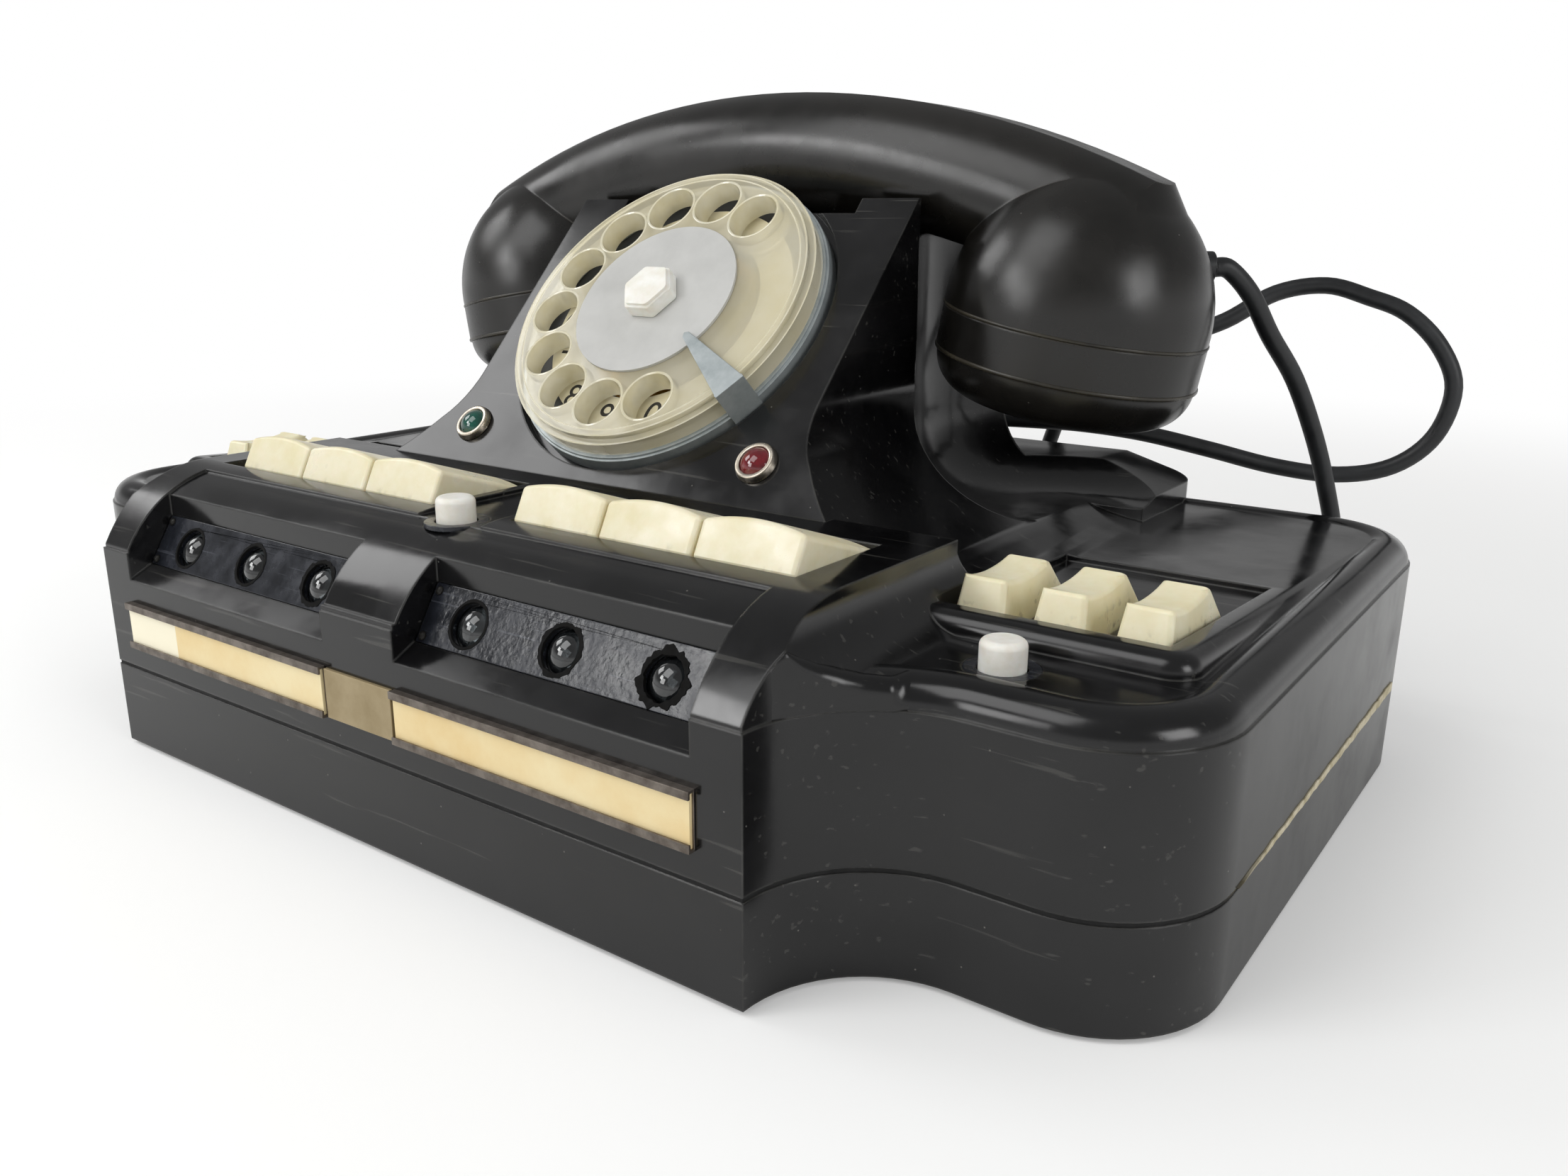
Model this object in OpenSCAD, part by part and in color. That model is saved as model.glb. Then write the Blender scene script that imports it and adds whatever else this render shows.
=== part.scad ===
// Desk telephone of black moulded plastic: a case with a wing of keys on each side,
// a sloping tower for the dial, lamp windows along the front and a handset on top.
// Millimetres, +Z up, the front faces -Y, the origin lies under the middle of the case.

/* [Case] */
// Width over both wings
case_w = 297; // [285:1:315]
// Depth from the front face to the rear wall
case_d = 180; // [176:1:195]
// Width of the centre section between the coves
centre_w = 180; // [178:1:184]
// Radius of the upright coves beside the centre section
cove_r = 23.5; // [22:0.5:25]
// Radius of the wings' upright corners
corner_r = 22.5; // [18:0.5:26]
// Thickness of the moulded walls
wall = 3.5; // [3:0.25:4]
// Thickness of the pan's floor
pan_floor = 3; // [2.5:0.25:4]
// Height of the feet below the pan
foot_h = 1; // [0.5:0.25:2]
// Height of the joint between pan and shell
seam_z = 19.7; // [18:0.1:22]
// Thickness of the gasket in that joint
gasket_t = 0.8; // [0.5:0.1:1.2]
// Height of the crease at the top of the upright walls
crease_z = 47; // [46:0.5:48]
// Height of the wings' flat tops
wing_z = 51.5; // [51:0.25:52]
// Radius of the rounded bead along the wings' edges
bead_r = 5.2; // [4.8:0.1:6]
// Width of the ledge outside the bead
bead_ledge = 0.4; // [0.3:0.1:0.8]

/* [Brow] */
// Height of the flat deck behind the brow
deck_z = 63.2; // [62.5:0.1:64]
// Radius of the brow's rounded front
brow_r = 29.7; // [28.5:0.1:31]
// Width of the raised rib at each end of the brow
rib_w = 10; // [9:0.5:11]
// Depth that the brow lies below its ribs
brow_relief = 0.6; // [0.4:0.1:1]
// Half width of the strip between the two lamp windows
window_gap = 10.5; // [9.5:0.25:12]
// Height of the lamp windows' lower edge on the front face
sill_z = 41; // [40:0.25:42]
// Length of the lamp panel up its slope
panel_l = 11.8; // [11.4:0.1:12]
// Lean of the lamp panel from upright
panel_lean = 31.8; // [30:0.2:33]
// Distance of the lamp panel's lower edge behind the front face
panel_y = 5.1; // [4.6:0.1:5.6]
// Height of the lamp panel's lower edge
panel_z = 43.7; // [43.4:0.1:44.2]
// Thickness of the lamp panels
panel_t = 1.6; // [1.2:0.1:2]
// Diameter of the lamp holes
lamp_d = 8.6; // [8:0.1:9]

/* [Tower] */
// Slope of the dial face from level
face_slope = 47.1; // [46:0.1:48]
// Distance of the dial's centre behind the front face
dial_y = 90.5; // [89.5:0.1:92]
// Height of the dial's centre on the sloping face
dial_z = 95.8; // [95:0.1:97]
// Width of the tower
tower_w = 99; // [97:0.5:100]
// Height of the tower's upper edge
tower_top = 122.5; // [122:0.1:123.5]
// Distance of the tower's rear wall behind the front face
tower_rear = 157; // [157:0.5:160]
// Height where the tower's sides begin to flare
flare_z = 82; // [80:0.5:84]
// Radius of the upper part of the flare
flare_r = 14; // [12:0.5:16]
// Angle through which the upper part turns
flare_turn = 48; // [44:1:50]
// Radius of the lower part of the flare
foot_r = 61; // [56:1:64]
// Half width of the notch in the upper edge
notch_x = 35; // [30:0.5:38]
// Depth of that notch
notch_z = 3.2; // [2.5:0.1:4]
// Height of the block behind the tower
block_z = 61.5; // [60.5:0.25:62]
// Half width of that block
block_x = 94; // [92:0.5:96]

/* [Dial] */
// Radius of the finger wheel
wheel_r = 38.5; // [37:0.25:39]
// Height of the finger wheel
wheel_t = 5.4; // [5:0.1:6]
// Radius of the circle of finger holes
hole_circle = 28.5; // [28:0.1:29]
// Diameter of the finger holes
hole_d = 12; // [11.6:0.1:12.3]
// Angle between finger holes
hole_step = 26.3; // [26:0.1:27]
// Angle of the first finger hole
first_hole = 59; // [56:0.5:62]
// Angle of the finger stop
stop_angle = -33.5; // [-35:0.5:-31]
// Radius of the metal ring under the wheel
ring_r = 39.6; // [39.5:0.1:40]
// Radius of the round seat in the face
seat_r = 41.2; // [40.8:0.1:42]
// Depth of that seat
seat_depth = 3; // [2.5:0.1:3.2]
// Diameter of the dial's shaft
shaft_d = 6; // [5:0.25:7]
// Distance of each jewel from the middle
jewel_x = 42; // [41.5:0.1:43]
// Distance of the jewels below the dial's centre along the face
jewel_drop = 34.2; // [33.5:0.1:34.6]
// Diameter of the jewels' bezels
jewel_d = 9.6; // [9:0.1:10]

/* [Keys] */
// Distance of the inner keys' edge from the middle
key_start = 15; // [14.6:0.1:15.6]
// Distance by which the left row of front keys stands nearer the middle
left_row_in = 7; // [6.5:0.1:7.4]
// Distance of the outer keys' edge from the end of the centre section
key_margin = 9; // [8.6:0.1:10.5]
// Height of the front keys' upper edge
key_top = 70.6; // [70:0.1:72]
// Distance of the front keys' faces behind the front face
key_front = 26; // [25.5:0.1:26.5]
// Depth of the front keys
key_depth = 25; // [24:0.1:25.6]
// Gap around each key
key_gap = 0.4; // [0.3:0.05:0.5]
// Place of the middle wing key, as a share of the wing's width
wing_key_at = 0.397; // [0.39:0.001:0.405]
// Distance of the wing keys' faces behind the front face
wing_key_y = 55; // [54.5:0.1:56]
// Depth of the wing keys
wing_key_depth = 27; // [25:0.1:28]
// Height of the wing keys' upper edge
wing_key_top = 59.6; // [59:0.1:60.5]
// Diameter of the keys' hinge rods
rod_d = 1.8; // [1.6:0.1:2]
// Diameter of the push buttons
button_d = 7.6; // [7:0.1:8]
// Height of the push buttons above their collars
button_h = 4.8; // [4.2:0.1:5.5]
// Diameter of the push buttons' collars
collar_d = 12.4; // [11.8:0.1:13]
// Distance of the wing buttons inside the middle wing key
button_in = 0.6; // [0:0.1:1.5]
// Distance of the wing buttons behind the front face
button_y = 36.8; // [36.4:0.1:37.2]

/* [Handset] */
// Distance of the handset behind the front face
set_y = 135; // [134.5:0.1:136]
// Distance of each dome from the middle
dome_x = 78.4; // [78:0.1:79]
// Radius of the domes
dome_r = 29; // [28:0.1:29.5]
// Height of the joint between dome and cap
dome_z = 96.4; // [95.5:0.1:97.5]
// Lean of the domes
dome_tilt = 10; // [8:0.5:11]
// Height of the handle's top
handle_top = 147; // [146.5:0.1:148]
// Thickness of the handle
handle_t = 26.6; // [26:0.1:27]
// Width of the handle
handle_w = 31; // [30:0.1:32]
// Radius of the handle's arch
arch_r = 229; // [220:1:240]
// Height of the rim of the ear and mouth caps
cap_rim = 9.6; // [9:0.1:10]
// Radius of the caps' rounded edge
cap_round = 9.4; // [8.5:0.1:10]
// Diameter of the cord
cord_d = 4.2; // [4:0.1:4.4]

/* [Fits] */
// Clearance between moving pieces
play = 0.3; // [0.25:0.05:0.4]
// Radial clearance of turning shafts and rods
run_fit = 0.05; // [0.03:0.01:0.08]
// Depth that label rails stand out of the front face
rail_proud = 1.6; // [1.2:0.1:2]

/* [Hidden] */
$fn = 96;
eps = 0.01;

// Colours of the materials
black = "#161617";
panel_black = "#1d1e22";
ivory = "#efe6bf";
white = "#f1f0ea";
steel = "#9aa3a8";
nickel = "#a39a80";
amber = "#d8cfa6";
brass = "#b89a52";
tan_board = "#c8a878";
rubber = "#1b1c1e";

// Frame: the case is drawn from its front face and then centred
frame_y = (case_d - rail_proud) / 2;

// Plan of the case
wing_x = case_w / 2;
centre_x = centre_w / 2;
cove_x = centre_x + cove_r;
shell_z = seam_z + gasket_t;
slab_inset = bead_r + bead_ledge;
wing_w = wing_x - centre_x;
top_wall = wing_z - wall;

// Brow
brow_cz = deck_z - brow_r;
brow_cy = sqrt(brow_r * brow_r - (crease_z - brow_cz) * (crease_z - brow_cz));
fillet_r = deck_z - wing_z;
fillet_toe = 0.25;
brow_back = 20;
brow_edge = 20.5;
brow_under = sill_z - 5;
deck_under = deck_z - 5;
window_end = centre_x - rib_w;
window_mid = (window_gap + window_end) / 2;
lamp_mid = 0.47 * panel_l;
lamp_pitch = 0.33 * (window_end - window_gap);

// Tower
face_foot_y = dial_y - (dial_z - deck_z) / tan(face_slope);
deck_end = face_foot_y + 3;
tower_x = tower_w / 2;
flare_join = [tower_x + flare_r * (1 - cos(flare_turn)), flare_z - flare_r * sin(flare_turn)];
foot_centre = flare_join + foot_r * [sin(flare_turn), cos(flare_turn)];
flare_end = foot_centre.x - sqrt(foot_r * foot_r - pow(foot_centre.y - wing_z, 2)) * -1;
scoop_r = dome_r + 5.5;
scoop_floor = wing_z + 3;
scoop_round = 20;
block_front = tower_rear - 12;
block_round = 6;
lip_gap = 1;

// Dial, in heights above the sloping face
ring_h = 4.6;
ring_top = ring_h - seat_depth;
plate_t = 1;
wheel_low = ring_top + play;
wheel_high = wheel_low + wheel_t;
wheel_web = 2.2;
disc_r = 20.5;
cap_h = 4;
cap_across = 13.4;
movement_r = 26;
movement_h = 19;

// Keys
key_pitch = (centre_x - key_start - key_margin) / 3;
key_floor = deck_z - 5.6;
key_lean = 3.7;
key_tail = 2.4;
key_crown = 42;
key_w = key_pitch - key_gap;
key_row = [for (i = [0:5]) i < 3 ? left_row_in - key_start - key_pitch * (2.5 - i)
                                 : key_start + key_pitch * (i - 2.5)];
slot_w = 3 * key_pitch + key_gap;
rod_y = key_front + key_depth - 2.2;
rod_z = deck_z - 2.6;
rod_grip = 4;
wing_key_x = centre_x + wing_key_at * wing_w;
wing_pitch = wing_w / 4;
wing_key_w = 0.656 * wing_pitch;
button_x = wing_key_x - button_in;
well_floor = wing_z - 1.2;
well_under = well_floor - 5.5;
key_dip = 4;
well_x0 = wing_key_x - 1.5 * wing_pitch + 1;
well_x1 = wing_key_x + 1.5 * wing_pitch - 1.6;
well_y0 = wing_key_y - 3.2;
well_l = 52;
well_y1 = wing_key_y + well_l;
bar_r = 3.2;
bar_w = 5.6;
bar_turn = 2;
bar_foot = 2.4;
bar_z = wing_z + 0.4;
bar_fall = 3.6;
wing_rod_y = wing_key_y + wing_key_depth - 2.6;
wing_rod_z = well_floor - 2.6;
front_button_x = left_row_in / 2;
pocket_x = key_start - left_row_in / 2 - 2.5;
pocket_z = deck_z - 1;
collar_t = 1;
button_flange = 1.2;
front_button_y = 22.4;

// Handset
arch_z = handle_top - arch_r;
arch_half = asin((dome_x + dome_r) / arch_r);
ridge_drop = handle_w / 2 - 1;
dome_bulge = 4;
dome_wall = 1.5;
end_low = 15.5;
end_rise = 24;
end_lean = 35.4;
capsule_r = dome_r - 5.4;
cap_h_all = cap_rim + cap_round;
cap_floor = cap_rim + 3;
dish = 2.4;
dish_out = 52;
exit_turn = 36;
exit_z = dome_z + 12;
exit_reach = dome_r + 0.4;
grommet_r = 3.4;

// Hook switch
plunger_x = 25;
plunger_d = 6;
plunger_len = 24;
hook_drop = 46;
hook_w = 22;
hook_t = 4;

// Inside of the case
floor_z = foot_h + pan_floor;
pad_r = 8;
foot_x = wing_x - 42;
foot_y = [48, case_d - 44];
chassis_z = floor_z + 4.5;
chassis_t = 1.5;
chassis_x = wing_x - 36.5;
chassis_y0 = 42;
chassis_y1 = case_d - 30;
deck_plate = chassis_z + chassis_t;
gong_r = 24;
gong_h = 15;
gong_round = 30;
gong_wall = 1.4;
gong_post = 3;
gong_lift = 8;
gong_y = chassis_y1 - gong_r - 4;
gong_x = [-chassis_x + gong_r + 8, -gong_r - 4];
bobbin_r = 8;
bobbin_l = 20;
yoke_w = 44;
yoke_h = 22;
yoke_t = 4;
ringer_x = (gong_x[0] + gong_x[1]) / 2;
ringer_y = gong_y - gong_r - 18;
coil_r = 12;
coil_l = 47;
coil_cheek = 3;
coil_x = tower_x + 8.5;
coil_y = chassis_y1 - 30;
can_w = 54;
can_d = 24;
can_h = 26;
can_x = centre_x - can_w + 2;
can_y = chassis_y0 + 20;
strip_l = 70;
strip_w = 12;
strip_h = 9;
strip_x = 4;
strip_y = chassis_y1 - strip_w - 2;
tag_r = 2.2;
tag_h = 2.5;
contact_w = 6;
contact_h = 7;
bank_y = key_front + 14;
bank_t = 2.5;
bank_h = 12;
wing_bank_w = 2 * wing_pitch + 1.12 * wing_key_w;
screw_at = [[wing_x - 18, 56], [wing_x - 18, case_d - 26]];
screw_r = 2;
boss_r = 5.5;
inlet_x = 30;
inlet_z = 66.5;
inlet_r = 3.6;

// Route of the cord from the handset to the tower, from the front face
cord_lead_route = [
    [102.7, 152.6, 108.4], [105.2, 154.5, 107.9], [109, 159, 102.5], [112.4, 165, 93.5],
    [116.6, 174, 83], [120.4, 182.5, 69], [123, 189, 56], [125, 194, 43], [125, 199, 28],
    [121, 204, 13], [111, 207, 4.4], [98, 207, 2.3]];
cord_slack_route = [
    [98, 207, 2.3], [80, 206, 2.3], [60, 204, 2.3], [40, 202, 2.3], [20, 201, 2.3], [2, 203, 2.3],
    [-12, 208, 2.3], [-19, 217, 2.3], [-14, 226, 2.3], [0, 230, 2.3], [15, 227, 2.8], [27, 219, 8],
    [35, 211, 21], [40, 205, 38], [45, 200, 56], [53, 197, 73], [66, 195, 84], [80, 196, 89],
    [91, 201, 93.5], [101, 208, 100.5], [112, 212, 102.6], [122, 214, 100], [131, 215, 96.5],
    [139, 216, 89], [143.5, 216.5, 79], [141, 215.5, 67], [133, 212.5, 59], [121, 208.5, 56],
    [107, 202, 57.5], [92, 194, 61.5], [77, 187, 65], [62, 182.5, 66.5], [48, 180, 66.5],
    [37.5, 176, 66.5], [32, 169, 66.5], [30, 163, 66.5], [30, 160.4, 66.5]];
cord_sides = 10;
cord_lead_steps = 2;
cord_slack_steps = 2;

// Placing helpers
module from_front() {
    translate([0, -frame_y, 0]) children();
}

module both_sides() {
    children();
    mirror([1, 0, 0]) children();
}

// Extrudes a drawing of x and z along the depth of the case
module along_y(y0, y1) {
    translate([0, y1, 0]) rotate([90, 0, 0]) linear_extrude(y1 - y0) children();
}

// Extrudes a drawing of y and z along the width of the case
module along_x(x0, x1) {
    translate([x0, 0, 0]) rotate([90, 0, 90]) linear_extrude(x1 - x0) children();
}

// Puts a piece on the sloping face, with the dial's axis as its Z
module on_face() {
    from_front() translate([0, dial_y, dial_z]) rotate([face_slope, 0, 0]) children();
}

// Puts a piece on one of the lamp panels: X along the case, Y up the panel, Z out of it
module on_panel() {
    from_front() translate([0, panel_y, panel_z]) rotate([90 - panel_lean, 0, 0]) children();
}

// Puts a piece on the axis of a dome, at the joint of its cap
module at_dome(side) {
    from_front() translate([side * dome_x, set_y, dome_z]) rotate([0, side * dome_tilt, 0]) children();
}

// Puts a piece on the line where the cord leaves the handset, with X along the cord
module at_cord_exit() {
    from_front() translate([dome_x, set_y, exit_z]) rotate([0, 0, exit_turn]) children();
}

// Flat drawings
module rounded_rect(x0, y0, x1, y1, r) {
    translate([x0 + r, y0]) square([x1 - x0 - 2 * r, y1 - y0]);
    translate([x0, y0 + r]) square([x1 - x0, y1 - y0 - 2 * r]);
    for (x = [x0 + r, x1 - r], y = [y0 + r, y1 - r]) translate([x, y]) circle(r = r);
}

// Plan of the case, drawn in from its walls by inset
module case_plan(inset) {
    rounded_rect(-wing_x + inset, cove_r + inset, wing_x - inset, case_d - inset, corner_r - inset);
    difference() {
        translate([-cove_x, inset]) square([2 * cove_x, cove_r + corner_r]);
        for (s = [-1, 1]) translate([s * cove_x, 0]) circle(r = cove_r + inset);
    }
}

// Section of the bead, with its foot a little inside the wall below
module bead_section() {
    intersection() {
        circle(r = bead_r);
        translate([-bead_r, 0]) square([2 * bead_r, bead_r]);
    }
    translate([-bead_r + eps, -1]) square([2 * bead_r - 2 * eps, 1 + eps]);
}

// Bead round one wing and half of the rear: cove, front, corner, side, corner, rear
module bead_run() {
    in = bead_r + bead_ledge;
    cove_from = 15;
    translate([cove_x, 0, crease_z]) rotate([0, 0, 90]) rotate_extrude(angle = 90 - cove_from)
        translate([cove_r + in, 0]) bead_section();
    translate([cove_x, cove_r + in, crease_z]) rotate([90, 0, 90])
        linear_extrude(wing_x - corner_r - cove_x) bead_section();
    translate([wing_x - corner_r, cove_r + corner_r, crease_z]) rotate([0, 0, -90])
        rotate_extrude(angle = 90) translate([corner_r - in, 0]) bead_section();
    translate([wing_x - in, case_d - corner_r, crease_z]) rotate([90, 0, 0])
        linear_extrude(case_d - cove_r - 2 * corner_r) bead_section();
    translate([wing_x - corner_r, case_d - corner_r, crease_z])
        rotate_extrude(angle = 90) translate([corner_r - in, 0]) bead_section();
    translate([0, case_d - in, crease_z]) rotate([90, 0, 90])
        linear_extrude(wing_x - corner_r) bead_section();
}

// Side view of the deck and its rounded brow
module brow_side(radius) {
    translate([0, brow_under]) square([deck_end, crease_z - brow_under]);
    intersection() {
        translate([brow_cy, brow_cz]) circle(r = radius);
        translate([0, crease_z - eps]) square([brow_cy, brow_r]);
    }
    translate([brow_cy - eps, crease_z - eps])
        square([deck_end - brow_cy + eps, deck_z - crease_z + eps]);
    difference() {
        translate([deck_end - eps, brow_under]) square([fillet_r, deck_z - brow_under]);
        translate([deck_end + fillet_r, deck_z]) circle(r = fillet_r + fillet_toe);
    }
}

// Front view of the deck with a hollow fillet down to each wing
module deck_front() {
    translate([-centre_x, brow_under]) square([centre_w, deck_z - brow_under]);
    both_sides() difference() {
        translate([centre_x - eps, brow_under]) square([fillet_r, deck_z - brow_under]);
        translate([centre_x + fillet_r, deck_z]) circle(r = fillet_r + fillet_toe);
    }
}

// Front view of the tower, upright above and flared to the wings below
module tower_front() {
    low = wing_z - 4;
    translate([-tower_x, low]) square([tower_w, tower_top - low]);
    both_sides() difference() {
        polygon([[tower_x - eps, flare_z], flare_join, [flare_end, wing_z], [flare_end, low],
                 [tower_x - eps, low]]);
        translate([tower_x + flare_r, flare_z]) circle(r = flare_r);
        intersection() {
            translate(foot_centre) circle(r = foot_r);
            translate([flare_join.x, low]) square([2 * foot_r, foot_r]);
        }
    }
}

// Side view of the tower, drawn in by inset from its sloping face, top and rear
module tower_side(inset) {
    low = wing_z - 4;
    slope = tan(face_slope);
    back = inset / sin(face_slope);
    foot = dial_y + back - (dial_z - low) / slope;
    top = tower_top - inset;
    polygon([[foot, low], [foot + (top - low) / slope, top], [tower_rear - inset, top],
             [tower_rear - inset, low]]);
}

// Hollow for a dome, with a rounded floor
module scoop(extra) {
    r = scoop_r + extra;
    z0 = scoop_floor - extra;
    translate([dome_x, set_y, 0]) rotate_extrude() {
        translate([0, z0 + scoop_round]) square([r, tower_top]);
        translate([0, z0]) square([r - scoop_round, scoop_round + eps]);
        intersection() {
            translate([r - scoop_round, z0 + scoop_round]) circle(r = scoop_round);
            translate([r - scoop_round - eps, z0]) square([scoop_round + 2 * eps, scoop_round + eps]);
        }
    }
}

// Raised block behind the tower, with sloping shoulders and round rear corners
module rear_block() {
    low = wing_z - 4;
    shoulder = block_z - 5;
    intersection() {
        along_y(block_front, case_d - bead_ledge)
            polygon([[-block_x, low], [-block_x, shoulder], [-block_x + 18, block_z],
                     [block_x - 18, block_z], [block_x, shoulder], [block_x, low]]);
        translate([0, 0, low]) linear_extrude(block_z)
            rounded_rect(-block_x, block_front - 2 * block_round, block_x, case_d - bead_ledge,
                         block_round);
    }
}

// Edge of a key frame: a quarter round beside a short flat, with its foot in the wing
module bar_section() {
    translate([0, -bar_foot]) square([bar_turn + eps, bar_foot + bar_r]);
    translate([bar_turn, 0]) intersection() {
        circle(r = bar_r);
        translate([0, -bar_foot]) square([bar_r, bar_foot + bar_r]);
    }
}

// Raised frame round a wing's keys: rounded in front and at the sides, sinking to the rear
module key_frame() {
    turn = bar_turn + bar_r;
    x0 = well_x0 - bar_w + turn;
    x1 = well_x1 + bar_w - turn;
    run = well_l + bar_w;
    translate([0, well_y0 - bar_w + turn, bar_z]) rotate([-bar_fall, 0, 0]) {
        translate([x0, 0, -bar_foot]) cube([x1 - x0, run, bar_foot + bar_r]);
        translate([x0, 0, 0]) rotate([90, 0, 90]) linear_extrude(x1 - x0) mirror([1, 0]) bar_section();
        translate([x1, run, 0]) rotate([90, 0, 0]) linear_extrude(run) bar_section();
        translate([x0, run, 0]) rotate([90, 0, 0]) linear_extrude(run) mirror([1, 0]) bar_section();
        translate([x1, 0, 0]) rotate([0, 0, -90]) rotate_extrude(angle = 90) bar_section();
        translate([x0, 0, 0]) rotate([0, 0, 180]) rotate_extrude(angle = 90) bar_section();
    }
}

// Outer form of the shell before it is hollowed
module shell_form() {
    translate([0, 0, shell_z]) linear_extrude(crease_z - shell_z) case_plan(0);
    translate([0, 0, crease_z - 2]) linear_extrude(wing_z - crease_z + 2) case_plan(slab_inset);
    both_sides() bead_run();
    intersection() {
        along_y(-1, case_d) deck_front();
        along_x(-wing_x, wing_x) brow_side(brow_r);
        translate([0, 0, brow_under - 1]) linear_extrude(deck_z) case_plan(bead_ledge);
    }
    difference() {
        union() {
            intersection() {
                along_y(0, case_d) tower_front();
                along_x(-wing_x, wing_x) tower_side(0);
            }
            rear_block();
        }
        both_sides() scoop(0);
    }
    both_sides() key_frame();
}

// Room inside the shell
module shell_room() {
    translate([0, 0, shell_z - 1]) linear_extrude(brow_under - shell_z + 1) case_plan(wall);
    intersection() {
        translate([0, 0, brow_under - 1]) linear_extrude(top_wall - brow_under + 1) case_plan(wall);
        translate([-wing_x, brow_back, 0]) cube([case_w, case_d, deck_z]);
    }
    translate([-centre_x + wall, brow_back, top_wall - 1])
        cube([centre_w - 2 * wall, deck_end - brow_back, deck_under - top_wall + 1]);
    difference() {
        along_x(-tower_x + wall, tower_x - wall) tower_side(wall);
        both_sides() scoop(wall);
    }
}

// Thick floors under the wing keys and bosses for the case screws
module shell_stiffeners() {
    both_sides() {
        translate([well_x0 - 3, well_y0 - 3, well_under])
            cube([well_x1 - well_x0 + 6, wing_key_depth + 9, wing_z - well_under - 1]);
        for (p = screw_at) translate([p.x, p.y, shell_z])
            cylinder(r = boss_r, h = wing_z - shell_z - 1);
        translate([button_x, button_y, top_wall - 2.5])
            cylinder(r = collar_d / 2 + 1.6, h = wing_z - top_wall + 1.5);
    }
}

// Recess of a lamp window, with its sill, panel seat and upper wall
module window_cut() {
    back = panel_t * cos(panel_lean);
    down = panel_t * sin(panel_lean);
    top_y = panel_y + panel_l * sin(panel_lean);
    top_z = panel_z + panel_l * cos(panel_lean);
    along_x(window_gap, window_end)
        polygon([[-2, sill_z - 1.06], [0, sill_z], [panel_y, panel_z],
                 [panel_y + back, panel_z - down], [top_y + back, top_z - down], [top_y, top_z],
                 [top_y, deck_z + 1], [-2, deck_z + 1]]);
}

// Places a piece at each lamp of the right window
module at_lamps() {
    for (i = [-1:1]) translate([window_mid + i * lamp_pitch, lamp_mid, 0]) children();
}

// Places a piece at each of the wing keys of the right wing
module at_wing_key(i) {
    translate([wing_key_x + (i - 2) * wing_pitch, 0, 0]) children();
}

// Places a piece at the inner end of each row of front keys, running outwards
module front_rows() {
    translate([key_start, 0, 0]) children();
    translate([left_row_in - key_start, 0, 0]) mirror([1, 0, 0]) children();
}

// Rod that a row of front keys turns on
module front_rod() {
    cylinder(d = rod_d, h = slot_w + 2 * rod_grip - key_gap);
}

// Openings in the shell
module shell_openings() {
    slot_y0 = key_front - key_gap;
    front_rows() translate([-rod_grip, rod_y, rod_z]) rotate([0, 90, 0]) front_rod();
    translate([key_start - key_gap, slot_y0, deck_under - 1])
        cube([slot_w, key_depth + 3 * key_gap, 20]);
    translate([key_gap - key_start - slot_w, slot_y0, deck_under - 1])
        cube([slot_w + left_row_in, key_depth + 3 * key_gap, 20]);
    both_sides() {
        window_cut();
        translate([well_x0, well_y0, well_floor]) cube([well_x1 - well_x0, well_y1 - well_y0, 20]);
        for (i = [1:3]) at_wing_key(i)
            translate([-wing_key_w / 2 - key_gap, wing_key_y - key_gap, well_under - key_dip])
                cube([wing_key_w + 2 * key_gap, wing_key_depth + 3 * key_gap, 20 + key_dip]);
        translate([wing_key_x - wing_pitch - wing_key_w / 2 - rod_grip, wing_rod_y, wing_rod_z])
            rotate([0, 90, 0]) cylinder(d = rod_d, h = 2 * wing_pitch + wing_key_w + 2 * rod_grip);
        translate([button_x, button_y, top_wall - 4]) cylinder(d = button_d + 2 * play, h = 20);
        translate([button_x, button_y, wing_z - collar_t]) cylinder(d = collar_d, h = 20);
        for (p = screw_at) translate([p.x, p.y, shell_z - 1]) cylinder(r = screw_r, h = 16);
        translate([plunger_x, set_y, tower_top - 20]) cylinder(d = plunger_d + 2 * play, h = 40);
    }
    translate([front_button_x, front_button_y, 0]) {
        translate([-pocket_x, -9, pocket_z]) cube([2 * pocket_x, key_depth + 12, 20]);
        translate([0, 0, deck_under - 8]) cylinder(d = button_d + 3, h = 8);
        translate([0, 0, deck_under - 1]) cylinder(d = button_d + 2 * play, h = 20);
        translate([0, 0, pocket_z - collar_t]) cylinder(d = collar_d, h = 20);
    }
    along_y(set_y - handle_w / 2 - lip_gap, set_y + handle_w / 2 + lip_gap) difference() {
        translate([-wing_x, scoop_floor + scoop_round]) square([case_w, tower_top]);
        translate([0, arch_z]) circle(r = arch_r - handle_t - play);
    }
    translate([-notch_x, dial_y, tower_top - notch_z]) cube([2 * notch_x, set_y - dial_y, 20]);
    translate([inlet_x, tower_rear - 2 * wall, inlet_z]) rotate([-90, 0, 0])
        cylinder(r = inlet_r, h = 2 * wall + 4);
}

// Round openings that follow the sloping face or the lamp panels
module shell_slanted_openings() {
    on_face() {
        translate([0, 0, -seat_depth]) cylinder(r = seat_r, h = 30);
        translate([0, 0, -30]) cylinder(r = movement_r + 1, h = 40);
        for (s = [-1, 1]) translate([s * jewel_x, -jewel_drop, -9]) cylinder(d = jewel_d - 2, h = 20);
    }
    both_sides() on_panel() at_lamps() translate([0, 0, -26]) cylinder(d = lamp_d + 2.4, h = 26);
}

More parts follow.
